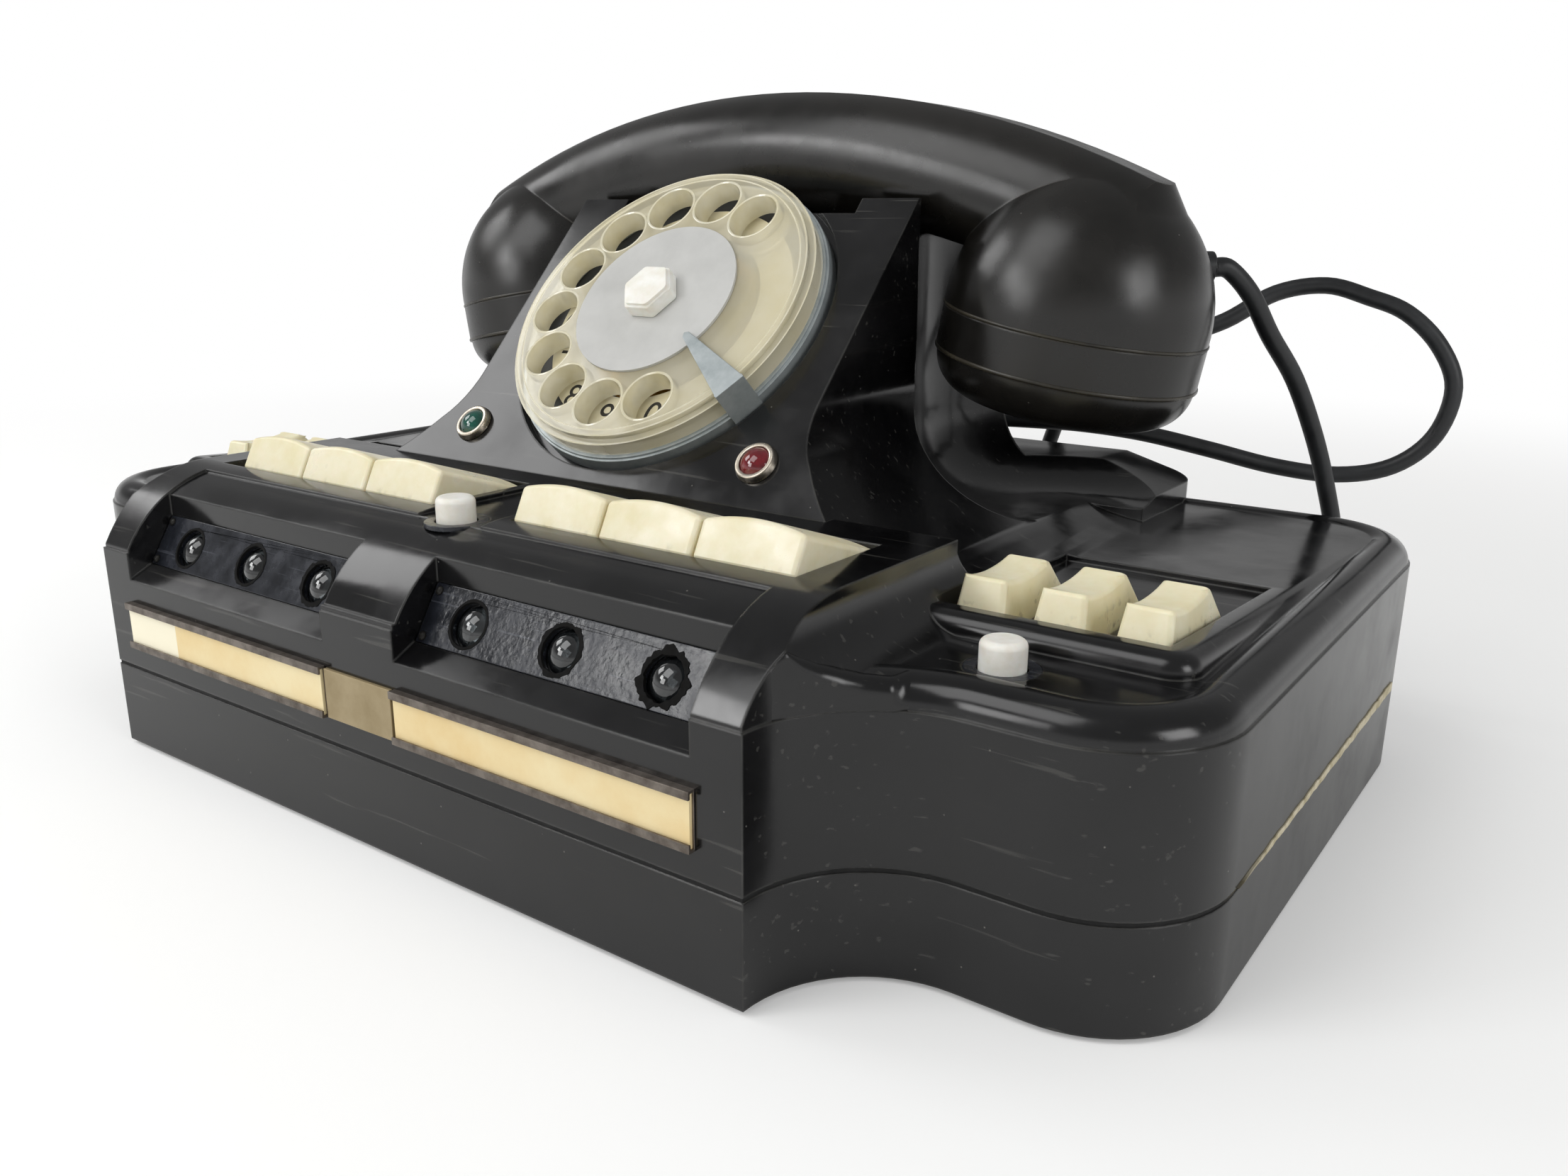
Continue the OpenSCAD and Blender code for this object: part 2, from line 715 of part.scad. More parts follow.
// Case pieces
module base_pan() color(black) from_front() difference() {
    union() {
        difference() {
            translate([0, 0, foot_h]) linear_extrude(seam_z - foot_h) case_plan(0);
            translate([0, 0, floor_z]) linear_extrude(seam_z) case_plan(wall);
        }
        both_sides() {
            for (p = screw_at) translate([p.x, p.y, foot_h]) cylinder(r = boss_r, h = seam_z - foot_h);
            for (y = [chassis_y0 + 9, chassis_y1 - 9]) translate([chassis_x - 9, y, foot_h])
                cylinder(r = 5, h = chassis_z - foot_h);
        }
    }
    both_sides() {
        for (p = screw_at) translate([p.x, p.y, 0]) {
            cylinder(r = screw_r + play, h = seam_z + 1);
            cylinder(r = 2 * screw_r + play, h = floor_z + 1);
        }
        for (y = foot_y) translate([foot_x, y, -1]) cylinder(r = pad_r + play, h = foot_h + 2.4);
    }
}

module rubber_feet() color(rubber) from_front() both_sides()
    for (y = foot_y) translate([foot_x, y, 0]) cylinder(r = pad_r, h = foot_h + 1.4);

module seam_gasket() color(tan_board) from_front() translate([0, 0, seam_z])
    linear_extrude(gasket_t) difference() {
        case_plan(0.2);
        case_plan(wall - 0.4);
    }

module case_screws() color(steel) from_front() both_sides() for (p = screw_at)
    translate([p.x, p.y, floor_z - 2]) {
        cylinder(r = 2 * screw_r, h = 3);
        cylinder(r = screw_r, h = shell_z + 12 - floor_z);
    }

module upper_shell() color(black) difference() {
    from_front() {
        difference() {
            union() {
                difference() {
                    shell_form();
                    shell_room();
                }
                shell_stiffeners();
            }
            shell_openings();
            along_x(-window_end, window_end) brow_relief_cut();
        }
    }
    shell_slanted_openings();
}

// Skin taken off the brow between its end ribs
module brow_relief_cut() intersection() {
    difference() {
        translate([brow_cy, brow_cz]) circle(r = brow_r + 2);
        translate([brow_cy, brow_cz]) circle(r = brow_r - brow_relief);
    }
    translate([-1, crease_z + 1]) square([brow_edge + 1, brow_r]);
}

// Lamp windows
module lamp_panel() difference() {
    translate([window_gap + 0.2, 0.1, -panel_t])
        cube([window_end - window_gap - 0.4, panel_l - 0.2, panel_t]);
    at_lamps() translate([0, 0, -panel_t - 1]) cylinder(d = lamp_d, h = panel_t + 2);
}

module lamp_panel_right() color(panel_black) on_panel() lamp_panel();

module lamp_panel_left() color(panel_black) mirror([1, 0, 0]) on_panel() lamp_panel();

module panel_rivets() color(steel) on_panel() for (x = [window_gap + 1.6, -window_end + 1.6])
    for (y = [1.4, panel_l - 1.6]) translate([x, y, 0]) {
        cylinder(d = 1.7, h = 0.3);
        translate([0, 0, 0.3]) scale([1, 1, 1]) intersection() {
            translate([0, 0, -0.6]) sphere(d = 2.1);
            cylinder(d = 1.7, h = 1);
        }
    }

// Clear lens: a flange behind the panel and a dome that fills the hole
module lens() {
    lens_r = lamp_d / 2 - 0.4;
    sphere_r = lens_r + 0.6;
    sink = sqrt(sphere_r * sphere_r - lens_r * lens_r);
    translate([0, 0, -panel_t - 1.4]) cylinder(d = lamp_d + 1.8, h = 1.4);
    translate([0, 0, -panel_t - 0.5]) cylinder(r = lens_r, h = 0.5);
    translate([0, 0, -panel_t]) intersection() {
        translate([0, 0, -sink]) sphere(r = sphere_r);
        cylinder(r = lens_r, h = sphere_r);
    }
}

module lamp_lenses() color("#d9dee0", 0.5) both_sides() on_panel() at_lamps() lens();

// Lamp: a brass socket behind each lens, with its bulb
module lamp_units() color(brass) both_sides() on_panel() at_lamps()
    translate([0, 0, -panel_t - 1.4]) {
        difference() {
            translate([0, 0, -10]) cylinder(d = lamp_d + 1.8, h = 10);
            translate([0, 0, -8.5]) cylinder(d = lamp_d - 1, h = 9);
        }
        translate([0, 0, -9]) cylinder(d = 4, h = 3);
        translate([0, 0, -4.2]) sphere(d = 5);
    }

// Label strips
label_z0 = 25.6;
label_z1 = 36;
plate_x = 9.8;
label_x0 = plate_x + 0.6;
label_x1 = centre_x - 9;
rail_lip = 1.5;

// Channel for a label: a back with a lip turned over each long edge
module label_rails() {
    translate([label_x0, -0.3, label_z0]) cube([label_x1 - label_x0, 0.3, label_z1 - label_z0]);
    for (z = [label_z0, label_z1 - 0.5]) translate([label_x0, -rail_proud, z])
        cube([label_x1 - label_x0, rail_proud, 0.5]);
    for (z = [label_z0, label_z1 - rail_lip]) translate([label_x0, -rail_proud, z])
        cube([label_x1 - label_x0, 0.5, rail_lip]);
}

module label_rails_right() color(steel) from_front() label_rails();

module label_rails_left() color(steel) from_front() mirror([1, 0, 0]) label_rails();

module label_cards() color(ivory) from_front() both_sides()
    translate([label_x0 + 0.4, -0.9, label_z0 + 0.5])
        cube([label_x1 - label_x0 - 0.8, 0.6, label_z1 - label_z0 - 1]);

module centre_plate() color(nickel) from_front()
    translate([-plate_x, -0.8, label_z0 + 0.2]) cube([2 * plate_x, 0.8, label_z1 - label_z0 - 0.4]);

// Buttons and their collars
module collar() difference() {
    translate([0, 0, -collar_t]) cylinder(d = collar_d, h = collar_t);
    translate([0, 0, -collar_t - 1]) cylinder(d = button_d + 2 * play, h = collar_t + 2);
}

module button_collars() color(panel_black) from_front() {
    both_sides() translate([button_x, button_y, wing_z]) collar();
    translate([front_button_x, front_button_y, pocket_z]) collar();
}

// Push button with a domed top and a flange below the wall that it passes
module push_button(under) {
    round_r = 1.2;
    r = button_d / 2;
    rotate_extrude() {
        translate([0, -under]) square([r, button_h + under - round_r]);
        translate([0, button_h - round_r - eps]) square([r - round_r, round_r + eps]);
        intersection() {
            translate([r - round_r, button_h - round_r]) circle(r = round_r);
            translate([0, button_h - round_r]) square([r, round_r]);
        }
        translate([0, -under - button_flange]) square([r + 1, button_flange + eps]);
    }
}

module front_button() color(white) from_front() translate([front_button_x, front_button_y, pocket_z])
    push_button(pocket_z - deck_under + play);

module right_button() color(white) from_front() translate([button_x, button_y, wing_z])
    push_button(wing_z - top_wall + 2.5 + play);

module left_button() color(white) mirror([1, 0, 0]) from_front()
    translate([button_x, button_y, wing_z]) push_button(wing_z - top_wall + 2.5 + play);

// Keys of the front row: a wedge, crowned across, that turns on a rod at its rear
module front_key(i) color(ivory) from_front() {
    y1 = key_front + key_depth;
    tail_z = deck_z + 0.3;
    fall = atan((key_top - tail_z) / (key_depth - key_lean));
    difference() {
        intersection() {
            along_x(key_row[i] - key_w / 2, key_row[i] + key_w / 2)
                polygon([[key_front, key_floor], [key_front, deck_z + 0.2],
                         [key_front + key_lean, key_top], [y1, tail_z], [y1, key_floor]]);
            translate([key_row[i], key_front + key_lean, key_top - key_crown / cos(fall)])
                rotate([-fall, 0, 0]) translate([0, -key_depth, 0]) rotate([-90, 0, 0])
                    cylinder(r = key_crown, h = 3 * key_depth);
        }
        translate([key_row[i] - key_w, rod_y, rod_z]) rotate([0, 90, 0])
            cylinder(d = rod_d + 2 * run_fit, h = 2 * key_w);
    }
}

// Wing key: tapered sides and a dished top that rises to the rear
module wing_key(i) {
    y0 = wing_key_y;
    y1 = wing_key_y + wing_key_depth;
    low = well_under + 0.5;
    top = wing_key_top;
    half = wing_key_w / 2;
    dish_r = 34;
    dish_y = y0 + 10.5;
    at_wing_key(i) difference() {
        intersection() {
            along_x(-half, half)
                polygon([[y0, low], [y0, well_floor + 1], [y0 + 2.6, top], [y0 + 18.5, top - 0.3],
                         [y0 + 20.5, top - 1], [y1, well_floor + 1], [y1, low]]);
            along_y(y0 - 1, y1 + 1)
                polygon([[-half, low], [-half, well_floor + 2], [-half + 0.9, top + 1],
                         [half - 0.9, top + 1], [half, well_floor + 2], [half, low]]);
        }
        translate([-half - 1, dish_y, top - 1.5 + dish_r]) rotate([0, 90, 0])
            cylinder(r = dish_r, h = wing_key_w + 2);
        translate([-half - 1, wing_rod_y, wing_rod_z]) rotate([0, 90, 0])
            cylinder(d = rod_d + 2 * run_fit, h = wing_key_w + 2);
    }
}

module right_key(i) color(ivory) from_front() wing_key(i);

module left_key(i) color(ivory) mirror([1, 0, 0]) from_front() wing_key(i);

module key_rods() color(steel) from_front() {
    front_rows() translate([-rod_grip, rod_y, rod_z]) rotate([0, 90, 0]) front_rod();
    both_sides() translate([wing_key_x - wing_pitch - wing_key_w / 2 - rod_grip, wing_rod_y, wing_rod_z])
        rotate([0, 90, 0]) cylinder(d = rod_d, h = 2 * wing_pitch + wing_key_w + 2 * rod_grip);
}

// Jewels beside the dial
module jewel_at(side) {
    on_face() translate([side * jewel_x, -jewel_drop, 0]) children();
}

module jewel_bezels() color(steel) for (s = [-1, 1]) jewel_at(s) difference() {
    union() {
        cylinder(d1 = jewel_d, d2 = jewel_d - 1, h = 1.6);
        translate([0, 0, -4]) cylinder(d = jewel_d - 2, h = 4 + eps);
    }
    translate([0, 0, -5]) cylinder(d = jewel_d - 3, h = 10);
}

module jewel() {
    r = jewel_d / 2 - 1.5;
    dome = r + 0.8;
    translate([0, 0, -4]) cylinder(r = r, h = 5.2);
    translate([0, 0, 1.2]) intersection() {
        translate([0, 0, -sqrt(dome * dome - r * r)]) sphere(r = dome);
        cylinder(r = r, h = dome);
    }
}

module jewel_red() color("#9c0f24") jewel_at(1) jewel();

module jewel_green() color("#0c6b4c") jewel_at(-1) jewel();

// Dial
module dial_ring() color(steel) on_face() translate([0, 0, -seat_depth]) difference() {
    union() {
        cylinder(r = ring_r, h = ring_h - 0.6);
        cylinder(r = ring_r - 0.5, h = ring_h);
    }
    translate([0, 0, 1.2]) cylinder(r = ring_r - 1.6, h = ring_h);
    translate([0, 0, -1]) cylinder(r = movement_r - 4, h = ring_h + 2);
}

module number_plate() color(white) on_face() translate([0, 0, -seat_depth + 1.2]) difference() {
    cylinder(r = ring_r - 1.6 - 0.1, h = plate_t);
    translate([0, 0, -1]) cylinder(r = movement_r - 4, h = plate_t + 2);
}

// Finger wheel: a thin web with a deep rim and a collar round each hole
module finger_wheel() color(amber, 0.8) on_face() difference() {
    union() {
        difference() {
            union() {
                translate([0, 0, wheel_low]) cylinder(r = wheel_r, h = wheel_t - 1.4);
                translate([0, 0, wheel_low]) cylinder(r = wheel_r - 1.3, h = wheel_t);
            }
            translate([0, 0, wheel_low - 1]) cylinder(r = wheel_r - 2.6, h = wheel_t - wheel_web + 1);
        }
        for (i = [0:9]) rotate([0, 0, first_hole + i * hole_step]) translate([hole_circle, 0, wheel_low])
            cylinder(d = hole_d + 1.7, h = wheel_t - wheel_web + eps);
        translate([0, 0, wheel_low]) cylinder(r = shaft_d / 2 + 3, h = wheel_t - wheel_web + eps);
    }
    for (i = [0:9]) rotate([0, 0, first_hole + i * hole_step])
        translate([hole_circle, 0, wheel_low - 1]) cylinder(d = hole_d, h = wheel_t + 2);
    translate([0, 0, wheel_low - 1]) cylinder(d = shaft_d, h = wheel_t + 2);
}

module dial_disc() color("#c9c9c8") on_face() translate([0, 0, wheel_high]) difference() {
    cylinder(r = disc_r, h = 0.6);
    translate([0, 0, -1]) cylinder(d = shaft_d, h = 3);
}

module dial_cap() color(white) on_face() translate([0, 0, wheel_high + 0.6]) difference() {
    union() {
        cylinder(d = cap_across, h = cap_h - 0.8, $fn = 6);
        translate([0, 0, cap_h - 0.8]) cylinder(d = cap_across - 1.4, h = 0.8, $fn = 6);
    }
    translate([0, 0, -1]) cylinder(d = shaft_d, h = 3);
}

module dial_shaft() color(steel) on_face() translate([0, 0, -seat_depth - movement_h + 3])
    cylinder(d = shaft_d, h = movement_h + seat_depth - 3 + wheel_high + 0.6 + 2);

// Clockwork behind the dial: two plates, a spring drum, gears and the governor
module dial_movement() color(brass) on_face() translate([0, 0, -seat_depth]) difference() {
    union() {
        translate([0, 0, -2]) cylinder(r = movement_r, h = 2);
        translate([0, 0, -2]) cylinder(r = movement_r - 5, h = 4);
        translate([0, 0, -movement_h]) cylinder(r = movement_r - 3, h = 2);
        for (a = [45:90:315]) rotate([0, 0, a]) translate([movement_r - 6, 0, -movement_h])
            cylinder(r = 1.8, h = movement_h);
        translate([0, 0, -9]) cylinder(r = 13, h = 8);
        translate([0, 0, -12]) cylinder(r = 17, h = 2);
        translate([15, 0, -movement_h]) cylinder(r = 1.2, h = movement_h);
        translate([15, 0, -8]) cylinder(r = 4.5, h = 3);
        translate([0, 15, -movement_h]) cylinder(r = 1.2, h = movement_h);
        translate([0, 15, -7]) cylinder(r = 5.5, h = 4);
        translate([0, 0, -movement_h]) cylinder(r = 7, h = movement_h);
    }
    translate([0, 0, -movement_h - 1]) cylinder(d = shaft_d + 2 * run_fit, h = movement_h + 8);
}

// Finger stop: a strap up the side of the ring and a tapered arm over the wheel
module finger_stop() color(steel) on_face() rotate([0, 0, stop_angle]) {
    r0 = ring_r + 0.05;
    arm_z = wheel_high + 0.7;
    strap = 0.9;
    translate([r0, -3.6, -seat_depth]) cube([strap, 7.2, seat_depth + arm_z + strap]);
    translate([0, 0, arm_z]) linear_extrude(strap)
        polygon([[r0 + strap, -3.6], [r0 + strap, 3.6], [disc_r - 2, 0.9], [disc_r - 2.8, 0],
                 [disc_r - 2, -0.9]]);
}

// Hook switch
module hook_plungers() color(white) from_front() {
    top = arch_z + sqrt(pow(arch_r - handle_t, 2) - pow(plunger_x + plunger_d / 2, 2)) - 2 * play;
    both_sides() translate([plunger_x, set_y, top - plunger_len]) cylinder(d = plunger_d, h = plunger_len);
    translate([-plunger_x - 4, set_y - 3, top - plunger_len - 4]) cube([2 * plunger_x + 8, 6, 4 + eps]);
}

module hook_switch() color(brass) from_front() {
    z = tower_top - hook_drop;
    back = tower_rear - wall;
    translate([-hook_w / 2, set_y + hook_t, z]) cube([hook_w, back - set_y - hook_t, hook_t]);
    for (i = [-1:1]) translate([i * plunger_d - hook_t / 2, set_y + hook_t + 1, z + hook_t - eps])
        cube([hook_t, hook_t + 1, 9]);
    translate([-hook_w / 2, back - hook_t / 2, z - 2 * hook_t]) cube([hook_w, hook_t / 2, hook_w]);
}

// Handset
module handle_section() intersection() {
    translate([-handle_t, -handle_w / 2]) square([handle_t, handle_w]);
    translate([-ridge_drop, 0]) circle(d = handle_w);
}

// Half section of a dome: almost upright at its foot, bulging to a round top
module dome_section() intersection() {
    translate([-dome_bulge, dome_wall]) circle(r = dome_r + dome_bulge);
    translate([0, -2]) square([2 * dome_r, 2 * dome_r]);
}

// Half section of the limit of the handle's ends: they slope down onto the domes
module end_section() {
    r = dome_r - 3.5;
    polygon([[0, -1], [r, -1], [r, end_low], [r - end_rise * tan(end_lean), end_low + end_rise],
             [0, end_low + end_rise]]);
}

// Arched handle, cut to that limit at both ends
module handle() intersection() {
    from_front() translate([0, set_y, arch_z]) rotate([90, 0, 0]) rotate([0, 0, 90 - arch_half])
        rotate_extrude(angle = 2 * arch_half) translate([arch_r, 0]) handle_section();
    union() {
        from_front() translate([-dome_x, set_y - dome_r, dome_z])
            cube([2 * dome_x, 2 * dome_r, 2 * dome_r]);
        for (s = [-1, 1]) at_dome(s) rotate_extrude() end_section();
    }
}

module handset_body() color(black) difference() {
    union() {
        handle();
        for (s = [-1, 1]) at_dome(s) rotate_extrude() dome_section();
    }
    for (s = [-1, 1]) at_dome(s) {
        translate([0, 0, -1]) cylinder(r = capsule_r + play, h = 10);
        translate([0, 0, -50]) cylinder(r = 2 * dome_r, h = 50);
    }
    at_cord_exit() rotate([0, 90, 0]) cylinder(r = grommet_r, h = 2 * dome_r);
}

// Cap: an upright rim, a shadow line and a rounded edge, with a dished face and sound holes
module cap(holes) difference() {
    r = dome_r - 0.4;
    rotate_extrude() {
        translate([0, -cap_rim]) square([dome_r, cap_rim]);
        translate([0, -cap_h_all]) square([r - cap_round, cap_h_all - cap_rim + eps]);
        intersection() {
            translate([r - cap_round, -cap_rim]) circle(r = cap_round);
            translate([0, -cap_h_all]) square([r, cap_round + eps]);
        }
    }
    translate([0, 0, -cap_floor]) cylinder(r = capsule_r + play, h = cap_floor + 1);
    translate([0, 0, -cap_h_all - dish_out]) sphere(r = dish_out + dish);
    translate([0, 0, -cap_h_all - 1]) cylinder(d = 3, h = cap_h_all);
    for (i = [0:holes - 1]) rotate([0, 0, i * 360 / holes]) translate([8.5, 0, -cap_h_all - 1])
        cylinder(d = 3, h = cap_h_all);
}

module ear_cap() color(black) at_dome(1) cap(6);

module mouth_cap() color(black) at_dome(-1) cap(8);

// Capsule: a stepped metal can with a contact stud
module capsule() translate([0, 0, -cap_floor]) {
    cylinder(r = capsule_r, h = 8);
    translate([0, 0, 8 - eps]) cylinder(r = capsule_r - 4, h = cap_floor);
    translate([0, 0, 8 + cap_floor - 2 * eps]) cylinder(r = 3, h = 0.8);
}

module receiver_capsule() color(steel) at_dome(1) capsule();

module transmitter_capsule() color(steel) at_dome(-1) capsule();

module handset_grommet() color(rubber) at_cord_exit() rotate([0, 90, 0])
    translate([0, 0, dome_r - 8]) cylinder(r = grommet_r, h = exit_reach - dome_r + 8);

// Cord: points of a route, smoothed, and a tube swept along them
function smooth(p, i, u) =
    let (n = len(p), a = p[max(i - 1, 0)], b = p[i], c = p[i + 1], d = p[min(i + 2, n - 1)])
    0.5 * (2 * b + (c - a) * u + (2 * a - 5 * b + 4 * c - d) * u * u
           + (3 * b - a - 3 * c + d) * u * u * u);

function smooth_route(p, steps) = concat(
    [for (i = [0:len(p) - 2], k = [0:steps - 1]) smooth(p, i, k / steps)], [p[len(p) - 1]]);

function unit(v) = v / norm(v);

function tangents(p) = [for (i = [0:len(p) - 1]) unit(p[min(i + 1, len(p) - 1)] - p[max(i - 1, 0)])];

function carried(n, t) = unit(n - (n * t) * t);

module tube(points, start) {
    t = tangents(points);
    count = len(points);
    sides = cord_sides;
    normals = [for (i = 0, n = carried(start, t[0]); i < count;
                    i = i + 1, n = i < count ? carried(n, t[i]) : n) n];
    rings = [for (i = [0:count - 1], k = [0:sides - 1])
        let (a = 360 * k / sides)
        points[i] + cord_d / 2 * (cos(a) * normals[i] + sin(a) * cross(t[i], normals[i]))];
    walls = [for (i = [0:count - 2], k = [0:sides - 1])
        let (a = i * sides + k, b = i * sides + (k + 1) % sides)
        each [[a, a + sides, b], [b, a + sides, b + sides]]];
    first_end = [for (k = [1:sides - 2]) [0, k, k + 1]];
    last = (count - 1) * sides;
    last_end = [for (k = [1:sides - 2]) [last, last + k + 1, last + k]];
    polyhedron(rings, concat(walls, first_end, last_end));
}

module handset_cord() color(rubber) from_front()
    tube(smooth_route(cord_lead_route, cord_lead_steps), [0, 0, 1]);

module cord_slack() color(rubber) from_front()
    tube(smooth_route(cord_slack_route, cord_slack_steps), [0, 0, 1]);

module cord_grommet() color(rubber) from_front() translate([inlet_x, tower_rear, inlet_z])
    rotate([-90, 0, 0]) {
        translate([0, 0, -wall]) cylinder(r = inlet_r, h = wall);
        cylinder(r1 = inlet_r + 1.6, r2 = inlet_r, h = 2.8);
    }

// Works inside the case
module chassis_plate() color(steel) from_front() translate([-chassis_x, chassis_y0, chassis_z])
    cube([2 * chassis_x, chassis_y1 - chassis_y0, chassis_t]);

module gong() {
    middle = gong_h - gong_round;
    difference() {
        intersection() {
            translate([0, 0, middle]) sphere(r = gong_round);
            cylinder(r = gong_r, h = gong_h + 1);
        }
        translate([0, 0, middle]) sphere(r = gong_round - gong_wall);
    }
    cylinder(r = gong_post, h = gong_h - gong_wall / 2);
}

module ringer_gongs() color(brass) from_front() for (x = gong_x)
    translate([x, gong_y, deck_plate]) {
        cylinder(r = gong_post, h = gong_lift);
        translate([0, 0, gong_lift - eps]) gong();
    }

module ringer_coils() color("#7a3b20") from_front() translate([ringer_x, ringer_y, deck_plate]) {
    front = -bobbin_l / 2 - yoke_t;
    striker_z = yoke_h - bobbin_r;
    translate([-yoke_w / 2, front, 0]) cube([yoke_w, yoke_t, yoke_h]);
    translate([-yoke_w / 2, front, 0]) cube([yoke_w, bobbin_l + 1.5 * yoke_t, yoke_t - 1]);
    for (x = [-1, 1] * yoke_w / 4) translate([x, -bobbin_l / 2 - 0.5, yoke_h - bobbin_r - 2])
        rotate([-90, 0, 0]) cylinder(r = bobbin_r, h = bobbin_l);
    translate([-yoke_w / 2, bobbin_l / 2 - 1, 0]) cube([yoke_w, yoke_t - 1, yoke_h]);
    translate([0, bobbin_l / 2 + 2, striker_z]) rotate([-90, 0, 0]) cylinder(r = 1, h = yoke_h);
    translate([0, bobbin_l / 2 + 4 + yoke_h, striker_z]) sphere(r = 2.4);
}

module induction_coil() color("#8a5a2b") from_front() translate([coil_x, coil_y, deck_plate]) {
    side = 2 * coil_r + 4;
    for (x = [-coil_l / 2 - coil_cheek + 0.5, coil_l / 2 - 0.5]) translate([x, -side / 2, 0])
        cube([coil_cheek, side, side]);
    translate([-coil_l / 2, 0, side / 2]) rotate([0, 90, 0]) cylinder(r = coil_r, h = coil_l);
}

module capacitor() color(steel) from_front() translate([can_x, can_y, deck_plate]) {
    cube([can_w, can_d, can_h]);
    for (x = [can_w / 2 - 15, can_w / 2 + 15]) translate([x, can_d / 2, can_h - eps])
        cylinder(r = tag_r, h = 2 * tag_h);
}

module terminal_strip() color("#3a2418") from_front() translate([strip_x, strip_y, deck_plate]) {
    tags = 7;
    step = strip_l / (tags + 0.3);
    cube([strip_l, strip_w, strip_h]);
    for (i = [0:tags - 1]) translate([(i + 0.65) * step, strip_w / 2, strip_h - eps])
        cylinder(r = tag_r, h = tag_h);
}

// Spring contacts below the keys: a bank on posts in front, and one under each wing
module key_switches() color(brass) from_front() both_sides() {
    bank_z = crease_z - 3;
    for (i = [0.5, 2.5]) translate([key_start + i * key_pitch, bank_y + contact_w, deck_plate])
        cylinder(r = contact_w / 2, h = bank_z - deck_plate + eps);
    translate([key_start + 3, bank_y, bank_z]) cube([3 * key_pitch - 2, bank_h, bank_t]);
    for (i = [0:2])
        translate([key_start + key_pitch * (i + 0.5) - contact_w / 2, bank_y + 1, bank_z + bank_t - eps])
            cube([contact_w, contact_w, contact_h]);
    translate([wing_key_x - wing_bank_w / 2, wing_key_y + wing_key_depth + 0.6, well_under - bank_h]) {
        cube([wing_bank_w, 4, bank_h]);
        translate([0, -16, 0]) cube([wing_bank_w, 17, bank_t]);
        for (i = [-1:1]) translate([wing_bank_w / 2 + i * wing_pitch - 2.5, -15, bank_t - eps])
            cube([5, contact_w, 5]);
    }
}

base_pan();
rubber_feet();
seam_gasket();
case_screws();
upper_shell();
lamp_panel_left();
lamp_panel_right();
panel_rivets();
lamp_lenses();
lamp_units();
label_rails_left();
label_rails_right();
label_cards();
centre_plate();
button_collars();
jewel_red();
jewel_green();
jewel_bezels();
dial_ring();
number_plate();
finger_stop();
dial_movement();
finger_wheel();
dial_disc();
dial_cap();
dial_shaft();
front_key(0);  // key_front_1
front_key(1);  // key_front_2
front_key(2);  // key_front_3
front_key(3);  // key_front_4
front_key(4);  // key_front_5
front_key(5);  // key_front_6
right_key(1);  // key_right_1
right_key(2);  // key_right_2
right_key(3);  // key_right_3
left_key(1);  // key_left_1
left_key(2);  // key_left_2
left_key(3);  // key_left_3
key_rods();
front_button();
right_button();
left_button();
hook_plungers();
hook_switch();
handset_body();
ear_cap();
mouth_cap();
receiver_capsule();
transmitter_capsule();
handset_grommet();
handset_cord();
cord_slack();
cord_grommet();
chassis_plate();
ringer_gongs();
ringer_coils();
induction_coil();
capacitor();
terminal_strip();
key_switches();
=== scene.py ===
"""Looks of a desk telephone with a dial tower, rows of keys and a handset.

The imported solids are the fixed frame. This script rounds their edges, gives
every surface its finish, prints the digits under the dial and lays the
handset cord along its route. Sizes are in millimetres, from the frame's
origin under the middle of the case, unless a name says otherwise.
"""

from __future__ import annotations

import logging
import math
from collections.abc import Callable
from dataclasses import dataclass, replace
from enum import Enum
from typing import Any

import bmesh
import bpy
from mathutils import Matrix, Vector

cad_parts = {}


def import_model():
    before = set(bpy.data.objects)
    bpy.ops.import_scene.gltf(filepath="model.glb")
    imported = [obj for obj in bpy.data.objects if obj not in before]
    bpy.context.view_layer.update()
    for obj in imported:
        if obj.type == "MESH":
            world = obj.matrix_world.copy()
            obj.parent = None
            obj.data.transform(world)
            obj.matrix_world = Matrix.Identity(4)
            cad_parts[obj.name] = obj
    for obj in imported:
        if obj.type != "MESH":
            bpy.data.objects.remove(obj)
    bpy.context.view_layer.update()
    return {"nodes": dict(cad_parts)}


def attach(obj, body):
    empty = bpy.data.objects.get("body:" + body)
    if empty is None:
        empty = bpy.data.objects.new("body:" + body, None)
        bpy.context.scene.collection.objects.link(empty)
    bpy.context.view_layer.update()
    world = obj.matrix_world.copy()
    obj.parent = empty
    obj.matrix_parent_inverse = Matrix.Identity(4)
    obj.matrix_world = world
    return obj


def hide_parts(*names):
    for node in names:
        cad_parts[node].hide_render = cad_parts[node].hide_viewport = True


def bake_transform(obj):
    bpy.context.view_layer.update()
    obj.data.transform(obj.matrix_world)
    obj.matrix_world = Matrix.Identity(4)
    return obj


LOG = logging.getLogger("desk_telephone")

Tree = bpy.types.NodeTree
Socket = bpy.types.NodeSocket
Span = tuple[float, float]
Point = tuple[float, float, float]
Colour = tuple[float, float, float, float]
# A share from 0 to 1, the colour under it and the colour over it; None is the colour so far
Layer = tuple[Socket, Colour | None, Colour | None]

MM = 0.001
SHARP_DEG = 40.0  # edges of new pieces that turn by more than this stay sharp
FRONT_FACE_Y = -89.2  # the case's front face, which depths are measured from
DIAL_CENTRE: Point = (0.0, 90.5 + FRONT_FACE_Y, 95.8)
DIAL_SLOPE_DEG = 47.1
NUMBER_BAND: Span = (23.2, 31.2)  # radii between which the digits stand

# Sockets of the colour Mix node, which share their names with its other kinds
MIX_FACTOR, MIX_A, MIX_B, MIX_RESULT = 0, 6, 7, 2

